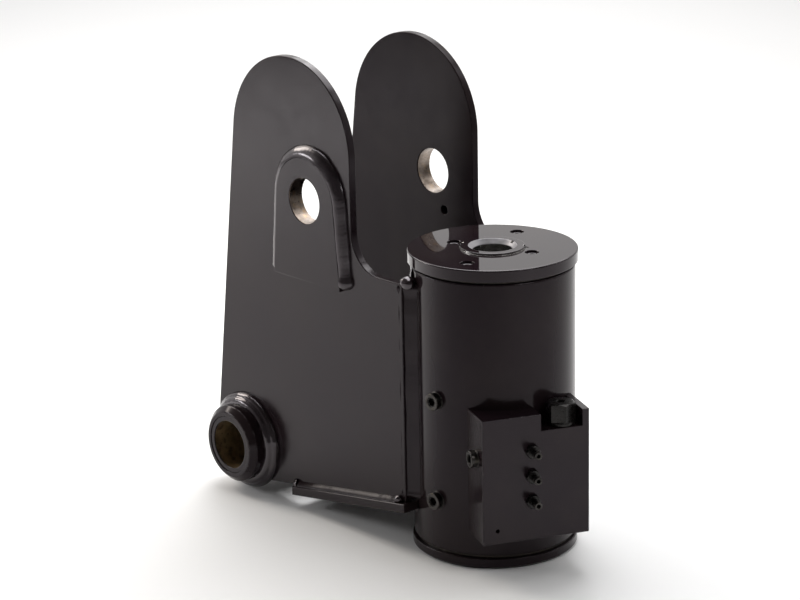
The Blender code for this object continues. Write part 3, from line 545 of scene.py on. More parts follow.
def resample(points, step):
    """Evenly spaced points along a polyline, the distance of each, and the whole length."""
    points = np.array(points, float)
    lengths = np.concatenate([[0], np.cumsum(np.linalg.norm(np.diff(points, axis=0), axis=1))])
    count = max(4, int(round(lengths[-1] / step)))
    places = np.linspace(0, lengths[-1], count + 1)
    made = np.stack([np.interp(places, lengths, points[:, k]) for k in range(3)], axis=1)
    return made, places, lengths[-1]


def wobble(places, scale, seed):
    """Smooth noise of about -1 to 1 along a length."""
    return np.array([noise.noise(Vector((p / scale, seed * 7.31, seed * 1.7))) * 1.6 for p in places])


def bead(path, along_a, along_b, leg_a, leg_b, total, places, convex, seed, closed=False, pitch=0.0040,
         ripple=0.00003, lobes=0.0, taper=0.006, bulges=()):
    """A weld bead in the corner at each path point.

    Its legs run along two directions, convex says how far its skin stands out, and the skin is rippled.
    A bulge is a place along the bead, a width and an amount.
    """
    across = 15
    rows = len(path)
    a, b = [np.broadcast_to(np.array(side, float), (rows, 3)) for side in (along_a, along_b)]
    size = 1 + 0.055 * wobble(places, 0.030, seed) + 0.012 * wobble(places, 0.008, seed + 3)
    for centre, width, amount in bulges:
        size = size + amount * np.exp(-(((places - centre) / width) ** 2))
    if closed:
        fade = np.clip(places / 0.02, 0, 1)
        size = 1 + (size - 1) * fade * fade[::-1]
    else:
        near = np.clip(np.minimum(places, total - places) / taper, 0, 1)
        size = size * np.sqrt(np.clip(1 - (1 - near) ** 2, 0.0016, 1))
    la, lb = (leg_a * size)[:, None], (leg_b * size)[:, None]
    u = np.linspace(0, 1, across)
    rings = np.zeros((rows, across + 1, 3))
    normal = a * np.mean(lb) + b * np.mean(la)
    normal /= np.linalg.norm(normal, axis=1)[:, None]
    phase = places / pitch + 0.35 * wobble(places, 0.009, seed + 9)
    for j, t in enumerate(u):
        line = a * la * (1 - t) + b * lb * t
        round_ = a * la * math.cos(math.pi * t / 2) + b * lb * math.sin(math.pi * t / 2)
        bow = 4 * t * (1 - t)
        wave = 0.5 * np.cos(2 * math.pi * (phase - 0.55 * bow)) + 0.3 * np.cos(math.pi * (phase + 0.8 * bow))
        height = ripple * wave * bow ** 0.6 + lobes * abs(math.sin(2 * math.pi * t)) ** 0.8
        height = height * np.clip(size, 0.1, 1.2)
        rings[:, j] = path + line + convex * (round_ - line) + normal * height[:, None]
    rings[:, 0] -= b * 0.0003
    rings[:, across - 1] -= a * 0.0003
    rings[:, across] = path - (a + b) * 0.0006
    verts = rings.reshape(-1, 3)
    step = across + 1
    faces = []
    for i in range(rows if closed else rows - 1):
        n = (i + 1) % rows
        for j in range(step):
            k = (j + 1) % step
            faces.append((i * step + j, n * step + j, n * step + k, i * step + k))
    if not closed:
        faces.append(tuple(range(step)))
        faces.append(tuple(range((rows - 1) * step, rows * step)))
    data = bpy.data.meshes.new("bead")
    data.from_pydata(verts.tolist(), [], faces)
    turn_outward(unworn(data))
    return smooth(data, 70)


def blob(centre, radii, seed):
    """The lump of metal left where a bead is broken off."""
    shape = bmesh.new()
    bmesh.ops.create_icosphere(shape, subdivisions=4, radius=1)
    for vert in shape.verts:
        lump = 1 + 0.13 * noise.noise(vert.co * 1.3 + Vector((seed * 5.1, 0, 0)))
        vert.co = Vector(centre) + Vector([part * radius * lump for part, radius in zip(vert.co, radii)])
    return smooth(unworn(finished(shape, "blob")), 70)


def flat_normals(path):
    """Left-hand normals of an open path in the XZ plane."""
    ahead = np.roll(path, -1, axis=0) - np.roll(path, 1, axis=0)
    ahead[0] = path[1] - path[0]
    ahead[-1] = path[-1] - path[-2]
    made = np.stack([-ahead[:, 2], np.zeros(len(path)), ahead[:, 0]], axis=1)
    return made / np.linalg.norm(made, axis=1)[:, None]


def foot_height(x):
    return FOOT_Z + (x - FOOT_X) * math.tan(FOOT_SLOPE)


# ---- bracket

def side_plate_outlines(with_keeper_hole):
    bush, ear = Vector((BUSH_X, BUSH_Z)), Vector((EAR_X, EAR_Z))
    along = ear - bush
    tangent = math.degrees(math.atan2(along.y, along.x) + math.acos((BUSH_EYE_R - EAR_R) / along.length))
    down = Vector((math.sin(FOOT_SLOPE), -math.cos(FOOT_SLOPE)))
    to_edge = down.dot(Vector((FOOT_X, FOOT_Z)) - bush)
    last = 360 + math.degrees(math.atan2(down.y, down.x) - math.acos(to_edge / BUSH_EYE_R))
    fillet_centre = (EAR_X + EAR_R + PLATE_FILLET_R, PLATE_TOP_Z + PLATE_FILLET_R)
    outline = arc(ear, EAR_R, 0, tangent, 96)
    outline += arc(bush, BUSH_EYE_R, tangent, last, 40)
    outline += [(PLATE_END_X, foot_height(PLATE_END_X)), (PLATE_END_X, PLATE_TOP_Z)]
    outline += arc(fillet_centre, PLATE_FILLET_R, -90, -180, 32)
    holes = [circle((PIN_X, PIN_Z), PIN_HOLE_R, 96), circle(bush, TUBE_R + GAP, 96)]
    if with_keeper_hole:
        holes.append(circle((KEEPER_X, KEEPER_Z), KEEPER_R, 32))
    return [outline, *holes]


def boss_line(steps):
    """The boss's outline from its foot over the top to its other foot."""
    flare = math.degrees(BOSS_FLARE)
    drop = PIN_Z - BOSS_BOTTOM_Z
    half = (BOSS_R + drop * math.sin(BOSS_FLARE)) / math.cos(BOSS_FLARE)
    over = arc((PIN_X, PIN_Z), BOSS_R, 180 - flare, flare, steps)
    return [(PIN_X - half, BOSS_BOTTOM_Z), *over, (PIN_X + half, BOSS_BOTTOM_Z)]


def bare_bore(data, centre, radius):
    """Gives a hole's wall and its rounded mouth the second material."""
    middle = Vector((AXIS_X + centre[0], 0, centre[1]))
    for face in data.polygons:
        off = face.center - middle
        near = math.hypot(off.x, off.z)
        if near < radius + 0.0002 and abs(face.normal.y) < 0.9:
            face.material_index = 1


def make_bracket():
    plate_y = PLATE_OUTER_Y - PLATE_T / 2
    boss_y = PLATE_OUTER_Y + GAP + BOSS_T / 2
    for side, word in ((-1, "left"), (1, "right")):
        plate = upright_plate(side_plate_outlines(side > 0), side * plate_y, PLATE_T, 0.0011)
        bare_bore(plate, (PIN_X, PIN_Z), PIN_HOLE_R)
        # The far plate takes the less reflective copy of the paint: painted shade
        paint = PLATE_PAINT if side < 0 else SHADED_PLATE_PAINT
        weighted(add(f"ear_{word}", plate, (paint, BORE_STEEL), "black_paint",
                     f"side_plate_{word}"))
        outlines = [boss_line(72), circle((PIN_X, PIN_Z), PIN_HOLE_R, 96)]
        boss = upright_plate(outlines, side * boss_y, BOSS_T, 0.0009)
        bare_bore(boss, (PIN_X, PIN_Z), PIN_HOLE_R)
        weighted(add(f"pin_boss_{word}", boss, (PLATE_PAINT, BORE_STEEL), "black_paint",
                     f"boss_plate_{word}"))
        make_bored_wall(side, word)
        make_boss_weld(side, word)
        make_barrel_welds(side, word)
        make_foot_welds(side, word)
    make_foot_plate()


def make_bored_wall(side, word):
    """The wall that line boring leaves through plate and boss, over the joint between them."""
    half = (PLATE_T + GAP + BOSS_T) / 2
    inner, outer, reach = PIN_HOLE_R - 0.00005, PIN_HOLE_R + 0.0015, half - 0.0007
    wall = turned([(inner, reach), (outer, reach), (outer, -reach), (inner, -reach)], 128, 0.0002)
    middle = (AXIS_X + PIN_X, side * (PLATE_OUTER_Y - PLATE_T + half), PIN_Z)
    add(f"bored_wall_{word}", stand(wall, middle, (0, side, 0)), BORE_STEEL, "machined_steel")


def make_boss_weld(side, word):
    points = [(AXIS_X + x, side * PLATE_OUTER_Y, z) for x, z in boss_line(72)]
    path, places, total = resample(points, 0.0007)
    outward = flat_normals(path)
    bulges = ((total * 0.5, 0.05, 0.16), (total * 0.56, 0.008, 0.08), (total - 0.010, 0.006, 0.12))
    data = bead(path, outward, (0, side, 0), 0.0118, 0.0098, total, places, convex=0.78, seed=3 + side,
                pitch=0.0052, ripple=0.00004, taper=0.008, bulges=bulges)
    add(f"boss_weld_{word}", data, WELD_PAINT, "black_paint")


def toward(x, y, side):
    """A level unit vector, mirrored for the other side of the bracket."""
    vector = np.array([x, side * y, 0])
    return vector / np.linalg.norm(vector)


def make_barrel_welds(side, word):
    low, high = foot_height(PLATE_END_X) + 0.001, PLATE_TOP_Z + 0.001
    path, places, total = upright_path(OUTER_ROOT, side, low, high + 0.003, 0.0007)
    data = bead(path, toward(-0.0046, 0.0141, side), toward(0.0140, 0.0028, side), *OUTER_LEGS, total,
                places, convex=-0.10, seed=11 + side, pitch=0.0060, ripple=0.000015, taper=0.009,
                bulges=((total - 0.009, 0.006, 0.22), (total * 0.02, 0.006, 0.15)))
    add(f"outer_barrel_weld_{word}", data, SEAM_WELD_PAINT, "black_paint", f"barrel_weld_{word}")
    lump = blob((AXIS_X - 0.0405, side * 0.0950, high + 0.0005), (0.0092, 0.0084, 0.0080), 4 + side)
    add(f"outer_barrel_weld_end_{word}", lump, WELD_PAINT, "black_paint")
    path, places, total = upright_path(INNER_ROOT, side, low, high, 0.0009)
    data = bead(path, toward(-0.0085, 0.0073, side), toward(0.006, 0.0005, side), *INNER_LEGS, total, places,
                convex=-0.2, seed=15 + side, pitch=0.0042)
    add(f"inner_barrel_weld_{word}", data, WELD_PAINT, "black_paint")
    low, high = PLATE_TOP_Z - 0.006, BARREL_TOP_Z - 0.0005
    path, places, total = upright_path(RUN_OUT_ROOT, side, low, high, 0.0006)
    lean = np.array([-0.463, side * 0.886, 0])
    across = np.array([0.886, side * 0.463, 0])
    data = bead(path, (lean - across) * 0.707, (lean + across) * 0.707, RUN_OUT_LEG, RUN_OUT_LEG, total,
                places, convex=0.2, seed=21 + side, taper=0.014)
    add(f"weld_run_out_{word}", data, WELD_PAINT, "black_paint")


def upright_path(root, side, low, high, step):
    """A path up the barrel, its root given from the barrel's axis."""
    foot = (AXIS_X + root[0], side * root[1])
    return resample([(*foot, low), (*foot, high)], step)


def make_foot_welds(side, word):
    """The beads along the bottom plate, and how the outer one begins and ends."""
    start, end = FOOT_X + 0.002, PLATE_END_X - 0.006
    up = np.array([-math.sin(FOOT_SLOPE), 0, math.cos(FOOT_SLOPE)])
    rows = (("outer", PLATE_OUTER_Y, 1, 0.0064), ("inner", PLATE_OUTER_Y - PLATE_T, -1, 0.0055))
    for where, y, out, leg in rows:
        points = [(AXIS_X + x, side * y, foot_height(x) - GAP) for x in (start, end)]
        path, places, total = resample(points, 0.0007)
        bulges = ((total - 0.008, 0.006, 0.22), (total - 0.030, 0.006, 0.10)) if out > 0 else ()
        data = bead(path, (0, side * out, 0), up, leg, 0.9 * leg, total, places, convex=0.35,
                    seed=31 + side + out, pitch=0.0036, ripple=0.00004, bulges=bulges)
        # The foot welds take the less reflective copy of the weld paint: painted shade
        add(f"foot_weld_{where}_{word}", data, SHADED_WELD_PAINT, "black_paint")
    lump = blob((AXIS_X + end - 0.004, side * (PLATE_OUTER_Y + 0.0030), foot_height(end) + 0.0030),
                (0.0055, 0.0040, 0.0045), 8 + side)
    add(f"foot_weld_lump_{word}", lump, WELD_PAINT, "black_paint")
    x, y, z = AXIS_X + FOOT_X, side * PLATE_OUTER_Y, foot_height(FOOT_X)
    path, places, total = resample([(x + 0.0010, y, z - 0.009), (x, y, z + 0.008)], 0.0006)
    data = bead(path, (-0.80, side * 0.60, 0), (0.60, side * 0.80, 0), 0.0048, 0.0080, total, places,
                convex=0.5, seed=41 + side, taper=0.007)
    add(f"foot_weld_end_{word}", data, WELD_PAINT, "black_paint")


def saddle_mesh(top, segments):
    """The barrel as a cutter, a little larger than the barrel."""
    radius = BARREL_R + 2 * GAP
    return turned([(0, top), (radius, top), (radius, -0.01), (0, -0.01)], segments, closed=False)


def make_foot_plate():
    top_left = (FOOT_X, foot_height(FOOT_X) - GAP)
    top_right = (FOOT_PLATE_END_X, foot_height(FOOT_PLATE_END_X) - GAP)
    drop = FOOT_PLATE_T / math.cos(FOOT_SLOPE)
    outline = [top_left, (top_left[0], top_left[1] - drop), (top_right[0], top_right[1] - drop), top_right]
    plate = upright_plate([outline], 0, 2 * FOOT_PLATE_HALF_Y, 0.0011)
    plate = smooth(combine(plate, [helper("saddle", on_axis(saddle_mesh(0.3, 180)))]), 35)
    weighted(add("foot_plate", plate, PLATE_PAINT, "black_paint", "bottom_plate"))
    reach = math.degrees(math.acos(BARREL_FOOT_END_X / BARREL_R))
    angles = np.radians(np.linspace(reach, 360 - reach, 200))
    up = np.array([-math.sin(FOOT_SLOPE), 0, math.cos(FOOT_SLOPE)])
    for word, offset, direction in (("upper", -GAP, 1), ("lower", -GAP - drop, -1)):
        points = []
        for angle in angles:
            px, py = BARREL_R * math.cos(angle), BARREL_R * math.sin(angle)
            points.append((AXIS_X + px, py, foot_height(px) + offset))
        path, places, total = resample(points, 0.0009)
        inward = path - np.array([AXIS_X, 0, 0])
        inward[:, 2] = 0
        inward /= np.linalg.norm(inward, axis=1)[:, None]
        data = bead(path, inward, up * direction, BARREL_FOOT_LEG, BARREL_FOOT_LEG, total, places,
                    convex=0.35, seed=51 + direction)
        add(f"barrel_foot_weld_{word}", data, WELD_PAINT, "black_paint")


def make_cross_bush():
    half, bevel = TUBE_HALF_Y, 0.007
    profile = [(TUBE_BORE_R, half), (TUBE_R - bevel, half, 0.0012), (TUBE_R, half - bevel, 0.0012),
               (TUBE_R, -half + bevel, 0.0012), (TUBE_R - bevel, -half, 0.0012), (TUBE_BORE_R, -half)]
    data = turned(profile, 160, 0.0006)
    add("lower_cross_tube", along_y(data, 1), TURNED_PAINT, "black_paint", "cross_tube")
    outer = TUBE_HALF_Y - 0.001

    def slot_at(r, z):
        return 1 if z > outer - 0.0012 else 0

    for side, word in ((-1, "left"), (1, "right")):
        profile = [(BRONZE_BORE_R, outer, 0.0010), (TUBE_BORE_R - GAP, outer),
                   (TUBE_BORE_R - GAP, outer - BRONZE_LENGTH),
                   (BRONZE_BORE_R, outer - BRONZE_LENGTH, 0.0016)]
        data = along_y(turned(profile, 128, 0.0005, slot_of=slot_at), side)
        add(f"lined_bush_{word}", data, (BRONZE, TURNED_PAINT), "bronze", f"bronze_bush_{word}")
        ring_bead(f"collar_weld_{word}", side, PLATE_OUTER_Y, side, 0.0124, 0.0134, 0.50, 0.0010, 61,
                  f"tube_collar_{word}")
        ring_bead(f"tube_weld_{word}", side, PLATE_OUTER_Y - PLATE_T, -side, 0.007, 0.007, 0.35, 0.0, 71)


def ring_bead(name, side, y, direction, leg_a, leg_b, convex, lobes, seed, *replaced):
    """A bead all round the cross tube, where it meets a side plate's face."""
    angles = np.radians(np.linspace(0, 360, 360, endpoint=False) + 215)
    centre = np.array([AXIS_X + BUSH_X, side * y, BUSH_Z])
    out = np.stack([np.cos(angles), np.zeros_like(angles), np.sin(angles)], axis=1)
    path = centre + out * TUBE_R
    places = np.arange(len(angles)) * (2 * math.pi * TUBE_R / len(angles))
    total = 2 * math.pi * TUBE_R
    data = bead(path, out, (0, direction, 0), leg_a, leg_b, total, places, closed=True, convex=convex,
                seed=seed + side, pitch=0.0062, ripple=0.00004, lobes=lobes)
    add(name, data, WELD_PAINT, "black_paint", *replaced)


# ---- barrel, cap and shaft

def make_barrel():
    profile = [(BARREL_BORE_R, BARREL_TOP_Z), (BARREL_R, BARREL_TOP_Z, 0.0020),
               (BARREL_R, BARREL_BOTTOM_Z, 0.0014), (BARREL_BORE_R, BARREL_BOTTOM_Z)]

    def slot_at(r, z):
        return 1 if r < BARREL_BORE_R + 0.0001 else 0

    data = turned(profile, 224, 0.0006, slot_of=slot_at)
    add("barrel", on_axis(data), (TURNED_PAINT, SHAFT_STEEL), "black_paint", "barrel_tube")
    out = Vector((math.cos(PORT_ANGLE), math.sin(PORT_ANGLE), 0))
    for word, height in zip(("lower", "upper"), PORT_HEIGHTS):
        seat = Vector((AXIS_X, 0, height)) + out * (BARREL_R - 0.0007)
        add(f"barrel_port_plug_{word}", stand(plug_mesh(), seat, out), (ZINC_STEEL, BLACK_STEEL),
            "dark_steel", f"barrel_plug_{word}")


def plug_mesh():
    """A port plug with a hexagon socket and a sealing washer under its head; it sits on z = 0."""
    profile = [(0, 0.0088), (0.0100, 0.0088, 0.0009), (0.0100, 0.0016), (0.0108, 0.0014), (0.0110, 0),
               (0.0065, 0), (0.0065, -0.0108), (0, -0.0108)]
    data = turned(profile, 64, 0.0003, closed=False)
    socket = hex_socket(0.0092, 0.0088, 0.0058)
    lead = turned([(0, 0.010), (0.0067, 0.010), (0.0058, 0.0079), (0, 0.0079)], 48, closed=False)
    data = smooth(combine(data, [socket, helper("lead", lead)]), 35)
    for face in data.polygons:
        near = math.hypot(face.center.x, face.center.y)
        if near < 0.0056 and face.center.z > 0.002:
            face.material_index = 1
    return data


def groove(radius, floor, heights):
    """The profile points of a ring groove, in the order of its two heights."""
    start, end = heights
    return [(radius, start), (floor, start), (floor, end), (radius, end)]


def make_cap():
    bore = THREAD_R + GAP
    profile = [(bore, CAP_TOP_Z, 0.0006), (CAP_R, CAP_TOP_Z, 0.0014), (CAP_R, CAP_BOTTOM_Z + 0.0001, 0.0006),
               (JOURNAL_R, CAP_BOTTOM_Z + 0.0001), *groove(JOURNAL_R, WEAR_FLOOR_R, CAP_WEAR_Z),
               *groove(JOURNAL_R, SEAL_FLOOR_R, CAP_SEAL_Z), (JOURNAL_R, CAP_FOOT_Z), (bore, CAP_FOOT_Z),
               *groove(bore, bore + O_RING_FLOOR, O_RING_Z)]

    def slot_at(r, z):
        return 1 if z < CAP_BOTTOM_Z - 0.0004 or r < bore + 0.0002 else 0

    data = on_axis(turned(profile, 200, 0.0003, slot_of=slot_at))
    cutters = []
    for index, (radius, degrees) in enumerate(CAP_SCREW_PLACES):
        mouth = polar(radius, degrees, CAP_TOP_Z)
        cutters.append(drill(f"counterbore_{index}", mouth, UP, COUNTERBORE_R, COUNTERBORE_DEPTH))
        seat = mouth - Vector((0, 0, COUNTERBORE_DEPTH))
        cutters.append(drill(f"screw_hole_{index}", seat, UP, SCREW_R + HOLE_PLAY, 0.009))
        screw_top = mouth - Vector((0, 0, COUNTERBORE_DEPTH + 0.0004))
        add(f"set_screw_{index + 1}", stand(set_screw_mesh(), screw_top, UP), BLACK_STEEL,
            "dark_steel", f"cap_screw_{index + 1}", body="shaft")
    for index, degrees in enumerate(LOCK_PIN_ANGLES):
        mouth = polar(LOCK_PIN_CIRCLE_R, degrees, CAP_TOP_Z)
        cutters.append(drill(f"pin_hole_{index}", mouth, UP, LOCK_PIN_R + HOLE_PLAY, 0.012, 24))
        pin = turned([(0, -0.0007), (LOCK_PIN_R, -0.0007), (LOCK_PIN_R, -0.0117), (0, -0.0117)], 40, 0.0004,
                     closed=False)
        add(f"locking_pin_{index + 1}", stand(pin, mouth, UP), BLACK_STEEL, "dark_steel",
            f"lock_pin_{index + 1}", body="shaft")
    data = smooth(combine(data, cutters), 38)
    weighted(add("turning_cap", data, (CAP_PAINT, SHAFT_STEEL), "black_paint", "end_cap", body="shaft"))


def set_screw_mesh():
    profile = [(0, 0), (SCREW_R, 0, 0.0008), (SCREW_R, -SCREW_LENGTH, 0.0006), (0, -SCREW_LENGTH)]
    data = turned(profile, 48, 0.0003, closed=False)
    socket = hex_socket(0.0051, 0, 0.0036)
    return smooth(combine(data, [socket]), 35)


def spline_mesh():
    """A left-hand helical spline of trapezoidal teeth, as a sleeve sunk a little into the shaft."""
    pitch = 2 * math.pi / SPLINE_TEETH
    root, crest = TOOTH_ROOT_SHARE * pitch, TOOTH_CREST_SHARE * pitch
    corners = [(SPLINE_ROOT_R, -root), (SPLINE_CREST_R - 0.0004, -crest), (SPLINE_CREST_R, -0.85 * crest),
               (SPLINE_CREST_R, 0), (SPLINE_CREST_R, 0.85 * crest), (SPLINE_CREST_R - 0.0004, crest),
               (SPLINE_ROOT_R, root), (SPLINE_ROOT_R, 0.5 * pitch)]
    around = len(corners) * SPLINE_TEETH
    low, high = SPLINE_Z
    levels = [low, low + 0.001, *np.linspace(low + 0.003, high - 0.003, 60), high - 0.001, high]
    verts, faces = [], []
    for level in levels:
        turn = -2 * math.pi * level / SPLINE_LEAD
        shrink = 1 - 0.0008 / SPLINE_CREST_R * (level in (low, high))
        for tooth in range(SPLINE_TEETH):
            for radius, offset in corners:
                angle = turn + tooth * pitch + offset
                verts.append((radius * shrink * math.cos(angle), radius * shrink * math.sin(angle), level))
    for i in range(len(levels) - 1):
        for j in range(around):
            k = (j + 1) % around
            faces.append((i * around + j, i * around + k, (i + 1) * around + k, (i + 1) * around + j))
    inner, sunk_r = len(verts), SHAFT_R - 0.0006
    for level in (low, high):
        for j in range(around):
            angle = 2 * math.pi * j / around - 2 * math.pi * level / SPLINE_LEAD - root
            verts.append((sunk_r * math.cos(angle), sunk_r * math.sin(angle), level))
    top = (len(levels) - 1) * around
    for j in range(around):
        k = (j + 1) % around
        faces.append((j, inner + j, inner + k, k))
        faces.append((top + j, top + k, inner + around + k, inner + around + j))
        faces.append((inner + j, inner + around + j, inner + around + k, inner + k))
    data = bpy.data.meshes.new("spline")
    data.from_pydata(verts, [], faces)
    turn_outward(data)
    return smooth(unworn(data), 28)


def make_shaft():
    profile = [(SHAFT_BORE_R, SHAFT_TOP_Z - 0.005, 0.0004), (SHAFT_BORE_R + 0.005, SHAFT_TOP_Z, 0.0004),
               (THREAD_R, SHAFT_TOP_Z, 0.0008), (THREAD_R, SHAFT_SHOULDER_Z),
               (SHAFT_R, SHAFT_SHOULDER_Z, 0.001), (SHAFT_R, SHAFT_STEP_Z, 0.0015),
               (JOURNAL_R, SHAFT_STEP_Z, 0.0008),
               *groove(JOURNAL_R, SEAL_FLOOR_R, SHAFT_SEAL_Z),
               *groove(JOURNAL_R, WEAR_FLOOR_R, SHAFT_WEAR_Z),
               (JOURNAL_R, FLANGE_T, 0.0006), (FLANGE_R, FLANGE_T, 0.0012), (FLANGE_R, 0.003, 0.0006),
               (FLANGE_R - 0.003, 0, 0.0006), (SHAFT_BORE_R, 0, 0.001)]

    def slot_at(r, z):
        if z < FLANGE_T + 0.0001 and r > SHAFT_BORE_R + 0.0015:
            return 1
        if z > 0.345 and r > SHAFT_BORE_R + 0.0052:
            return 3
        return 2 if z > 0.30 and r < SHAFT_BORE_R + 0.0052 else 0

    data = on_axis(turned(profile, 200, 0.0002, slot_of=slot_at))
    cutters = []
    for index, degrees in enumerate(LOCK_PIN_ANGLES):
        mouth = polar(LOCK_PIN_CIRCLE_R, degrees, SHAFT_TOP_Z)
        cutters.append(drill(f"shaft_pin_hole_{index}", mouth, UP, LOCK_PIN_R + HOLE_PLAY, 0.0145,
                             24))
    notch = turned([(0, 0.006), (NOTCH_R, 0.006), (NOTCH_R, -NOTCH_DEPTH), (0, -NOTCH_DEPTH)], 24,
                   closed=False)
    cutters.append(helper("notch", stand(notch, polar(*NOTCH_PLACE, SHAFT_TOP_Z), UP)))
    for index in range(FLANGE_HOLES):
        mouth = polar(FLANGE_HOLE_CIRCLE_R, 360 * (index + 0.5) / FLANGE_HOLES, 0)
        cutters.append(drill(f"flange_hole_{index}", mouth, (0, 0, -1), FLANGE_HOLE_R, 0.022, 32))
    data = smooth(combine(data, cutters), 38)
    looks = (SHAFT_STEEL, TURNED_PAINT, FACED_STEEL, CAP_PAINT)
    weighted(add("turning_shaft", data, looks, "machined_steel", "shaft", body="shaft"))
    add("shaft_splines", on_axis(spline_mesh()), SPLINE_STEEL, "machined_steel", "shaft", body="shaft")


# ---- valve block

def make_block():
    blank = box_cutter("block", (BLOCK_BACK, BLOCK_WIDTH[0], BLOCK_Z[0]),
                       (BLOCK_FRONT, BLOCK_WIDTH[1], BLOCK_Z[1]), BLOCK_CORNER_R, BLOCK_RIM_R)
    data = blank.data
    mark_edge(data, [float(max(abs(part) for part in face.normal) < 0.99) for face in data.polygons])
    saddle = helper("saddle", saddle_mesh(0.4, 200))
    pocket = box_cutter("pocket", (BLOCK_BACK - 0.01, POCKET_WIDTH[0], POCKET_FLOOR_Z),
                        (BLOCK_FRONT + 0.02, POCKET_WIDTH[1], BLOCK_Z[1] + 0.02))
    bpy.data.objects.remove(blank)
    cutters = [saddle, pocket, drill("valve_bore", (*CARTRIDGE_PLACE, POCKET_FLOOR_Z), UP, 0.0108, 0.057)]
    depth, height = BLOCK_PLUG_PLACE
    cutters.append(drill("passage", (depth, BLOCK_WIDTH[0], height), (0, -1, 0), 0.0068, 0.06))
    for index, height in enumerate(FITTING_HEIGHTS):
        cutters.append(drill(f"test_hole_{index}", (BLOCK_FRONT, 0, height), (1, 0, 0), 0.0043, 0.012))
    for index, (depth, height) in enumerate(SIDE_PORT_PLACES):
        mouth = (depth, BLOCK_WIDTH[1], height)
        cutters.append(drill(f"port_{index}", mouth, (0, 1, 0), SIDE_PORT_R, 0.0165, 64))
    width, height, radius = TAG_HOLE
    cutters.append(drill("tag_hole", (BLOCK_FRONT, width, height), (1, 0, 0), radius, 0.007, 32))
    data = smooth(combine(data, cutters), 38)
    for face in data.polygons:
        for depth, height in SIDE_PORT_PLACES:
            off = face.center - Vector((depth, BLOCK_WIDTH[1], height))
            if -0.025 < off.y < -0.0002 and math.hypot(off.x, off.z) < SIDE_PORT_R + 0.0001:
                face.material_index = 1
    data.transform(Matrix.Translation((AXIS_X, 0, 0)) @ Matrix.Rotation(BLOCK_TURN, 4, "Z"))
    weighted(add("valve_block", data, (BLOCK_PAINT, SHAFT_STEEL), "black_paint", "manifold_block"))
    depth, height = BLOCK_PLUG_PLACE
    seat = block_point(depth, BLOCK_WIDTH[0], height)
    add("block_port_plug", stand(plug_mesh(), seat, -BLOCK_SIDE), (ZINC_STEEL, BLACK_STEEL),
        "dark_steel", "block_plug")


def make_cartridge():
    """The screw-in valve: a chamfered hexagon on a round collar, its body down the bore."""
    corner, flat = CARTRIDGE_HEX / math.sqrt(3), CARTRIDGE_HEX / 2
    floor = POCKET_FLOOR_Z + GAP
    top = CARTRIDGE_TOP_Z
    head = hexagon(CARTRIDGE_HEX, floor + 0.0040, top)
    limit = turned([(0, top + 0.002), (flat - 0.001, top + 0.002), (flat - 0.001, top),
                    (corner + 0.0006, top - 0.0021), (corner + 0.0006, floor + 0.001), (0, floor + 0.001)],
                   120, closed=False)
    head = combine(head, [helper("limit", limit)], "INTERSECT")
    shape = bmesh.new()
    shape.from_mesh(head)
    sharp = [e for e in shape.edges if len(e.link_faces) == 2
             and math.radians(20) < e.calc_face_angle() < math.radians(75)]
    bmesh.ops.bevel(shape, geom=sharp, offset=0.0004, segments=2, profile=0.5, affect="EDGES",
                    clamp_overlap=True)
    shape.to_mesh(head)
    shape.free()
    dimple = drill("dimple", (0, 0, top), UP, 0.0045, 0.003, 40)
    head = smooth(combine(head, [dimple]), 32)
    profile = [(0, floor + 0.0046), (flat - 0.0004, floor + 0.0046), (flat + 0.0019, floor + 0.0040, 0.0008),
               (flat + 0.0019, floor, 0.0004), (0.0105, floor), (0.0105, floor - 0.055, 0.001),
               (0, floor - 0.055)]
    collar = turned(profile, 120, 0.0003, closed=False)
    depth, width = CARTRIDGE_PLACE
    place = Matrix.Translation(block_point(depth, width, 0)) @ Matrix.Rotation(BLOCK_TURN, 4, "Z")
    for data in (head, collar):
        data.transform(place)
    weighted(add("valve_hexagon", head, BLACK_STEEL, "dark_steel", "valve_cartridge"))
    add("valve_collar", collar, BLACK_STEEL, "dark_steel", "valve_cartridge")


def fitting_meshes():
    """A capped test point: chamfered hexagon base on z = 0 and a grooved, hollow cap on its neck."""
    corner = FITTING_HEX / math.sqrt(3)
    base = hexagon(FITTING_HEX, 0, 0.0066)
    limit = turned([(0, 0.0067), (FITTING_HEX / 2 - 0.0003, 0.0067), (corner + 0.0004, 0.0055),
                    (corner + 0.0004, -0.001), (0, -0.001)], 72, closed=False)
    base = smooth(combine(base, [helper("limit", limit)], "INTERSECT"), 25)

    def slot_at(r, z):
        return 1 if r < 0.0024 else 0

    stem = [(0, 0.0155), (0.0023, 0.0155), (0.0023, 0.0199, 0.0003), (0.0046, 0.0199, 0.0005),
            (0.0046, 0.0168), (0.0041, 0.0164), (0.0041, 0.0156), (0.0046, 0.0152), (0.0046, 0.0112, 0.0004),
            (0.0036, 0.0100), (0.0036, 0.0066), (0.0036, -0.009), (0, -0.009)]
    cap = turned(stem, 56, 0.0002, closed=False, slot_of=slot_at)
    return base, cap


def make_fittings():
    for word, height in zip(("lower", "middle", "upper"), FITTING_HEIGHTS):
        base, cap = fitting_meshes()
        seat = block_point(BLOCK_FRONT + GAP, 0, height)
        add(f"test_point_base_{word}", stand(base, seat, BLOCK_OUT), BLACK_STEEL, "dark_steel",
            f"test_point_{word}")
        add(f"test_point_cap_{word}", stand(cap, seat, BLOCK_OUT), (ZINC_STEEL, BLACK_STEEL),
            "dark_steel", f"test_point_{word}")


# ---- what stays as the CAD has it

def repaint(look, *nodes):
    for node in nodes:
        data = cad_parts[node].data
        data.materials.clear()
        data.materials.append(look)


def make_inside():
    repaint(SPLINE_STEEL, "ring_gear", "piston_sleeve")
    repaint(DULL_BRONZE, "thrust_washer_lower", "thrust_washer_upper")
    repaint(BRONZE, "wear_ring_lower", "wear_ring_upper", "piston_guide_ring")
    repaint(RUBBER, "shaft_seal", "cap_seal", "cap_o_ring", "piston_seal", "piston_inner_seal")


# ---- studio

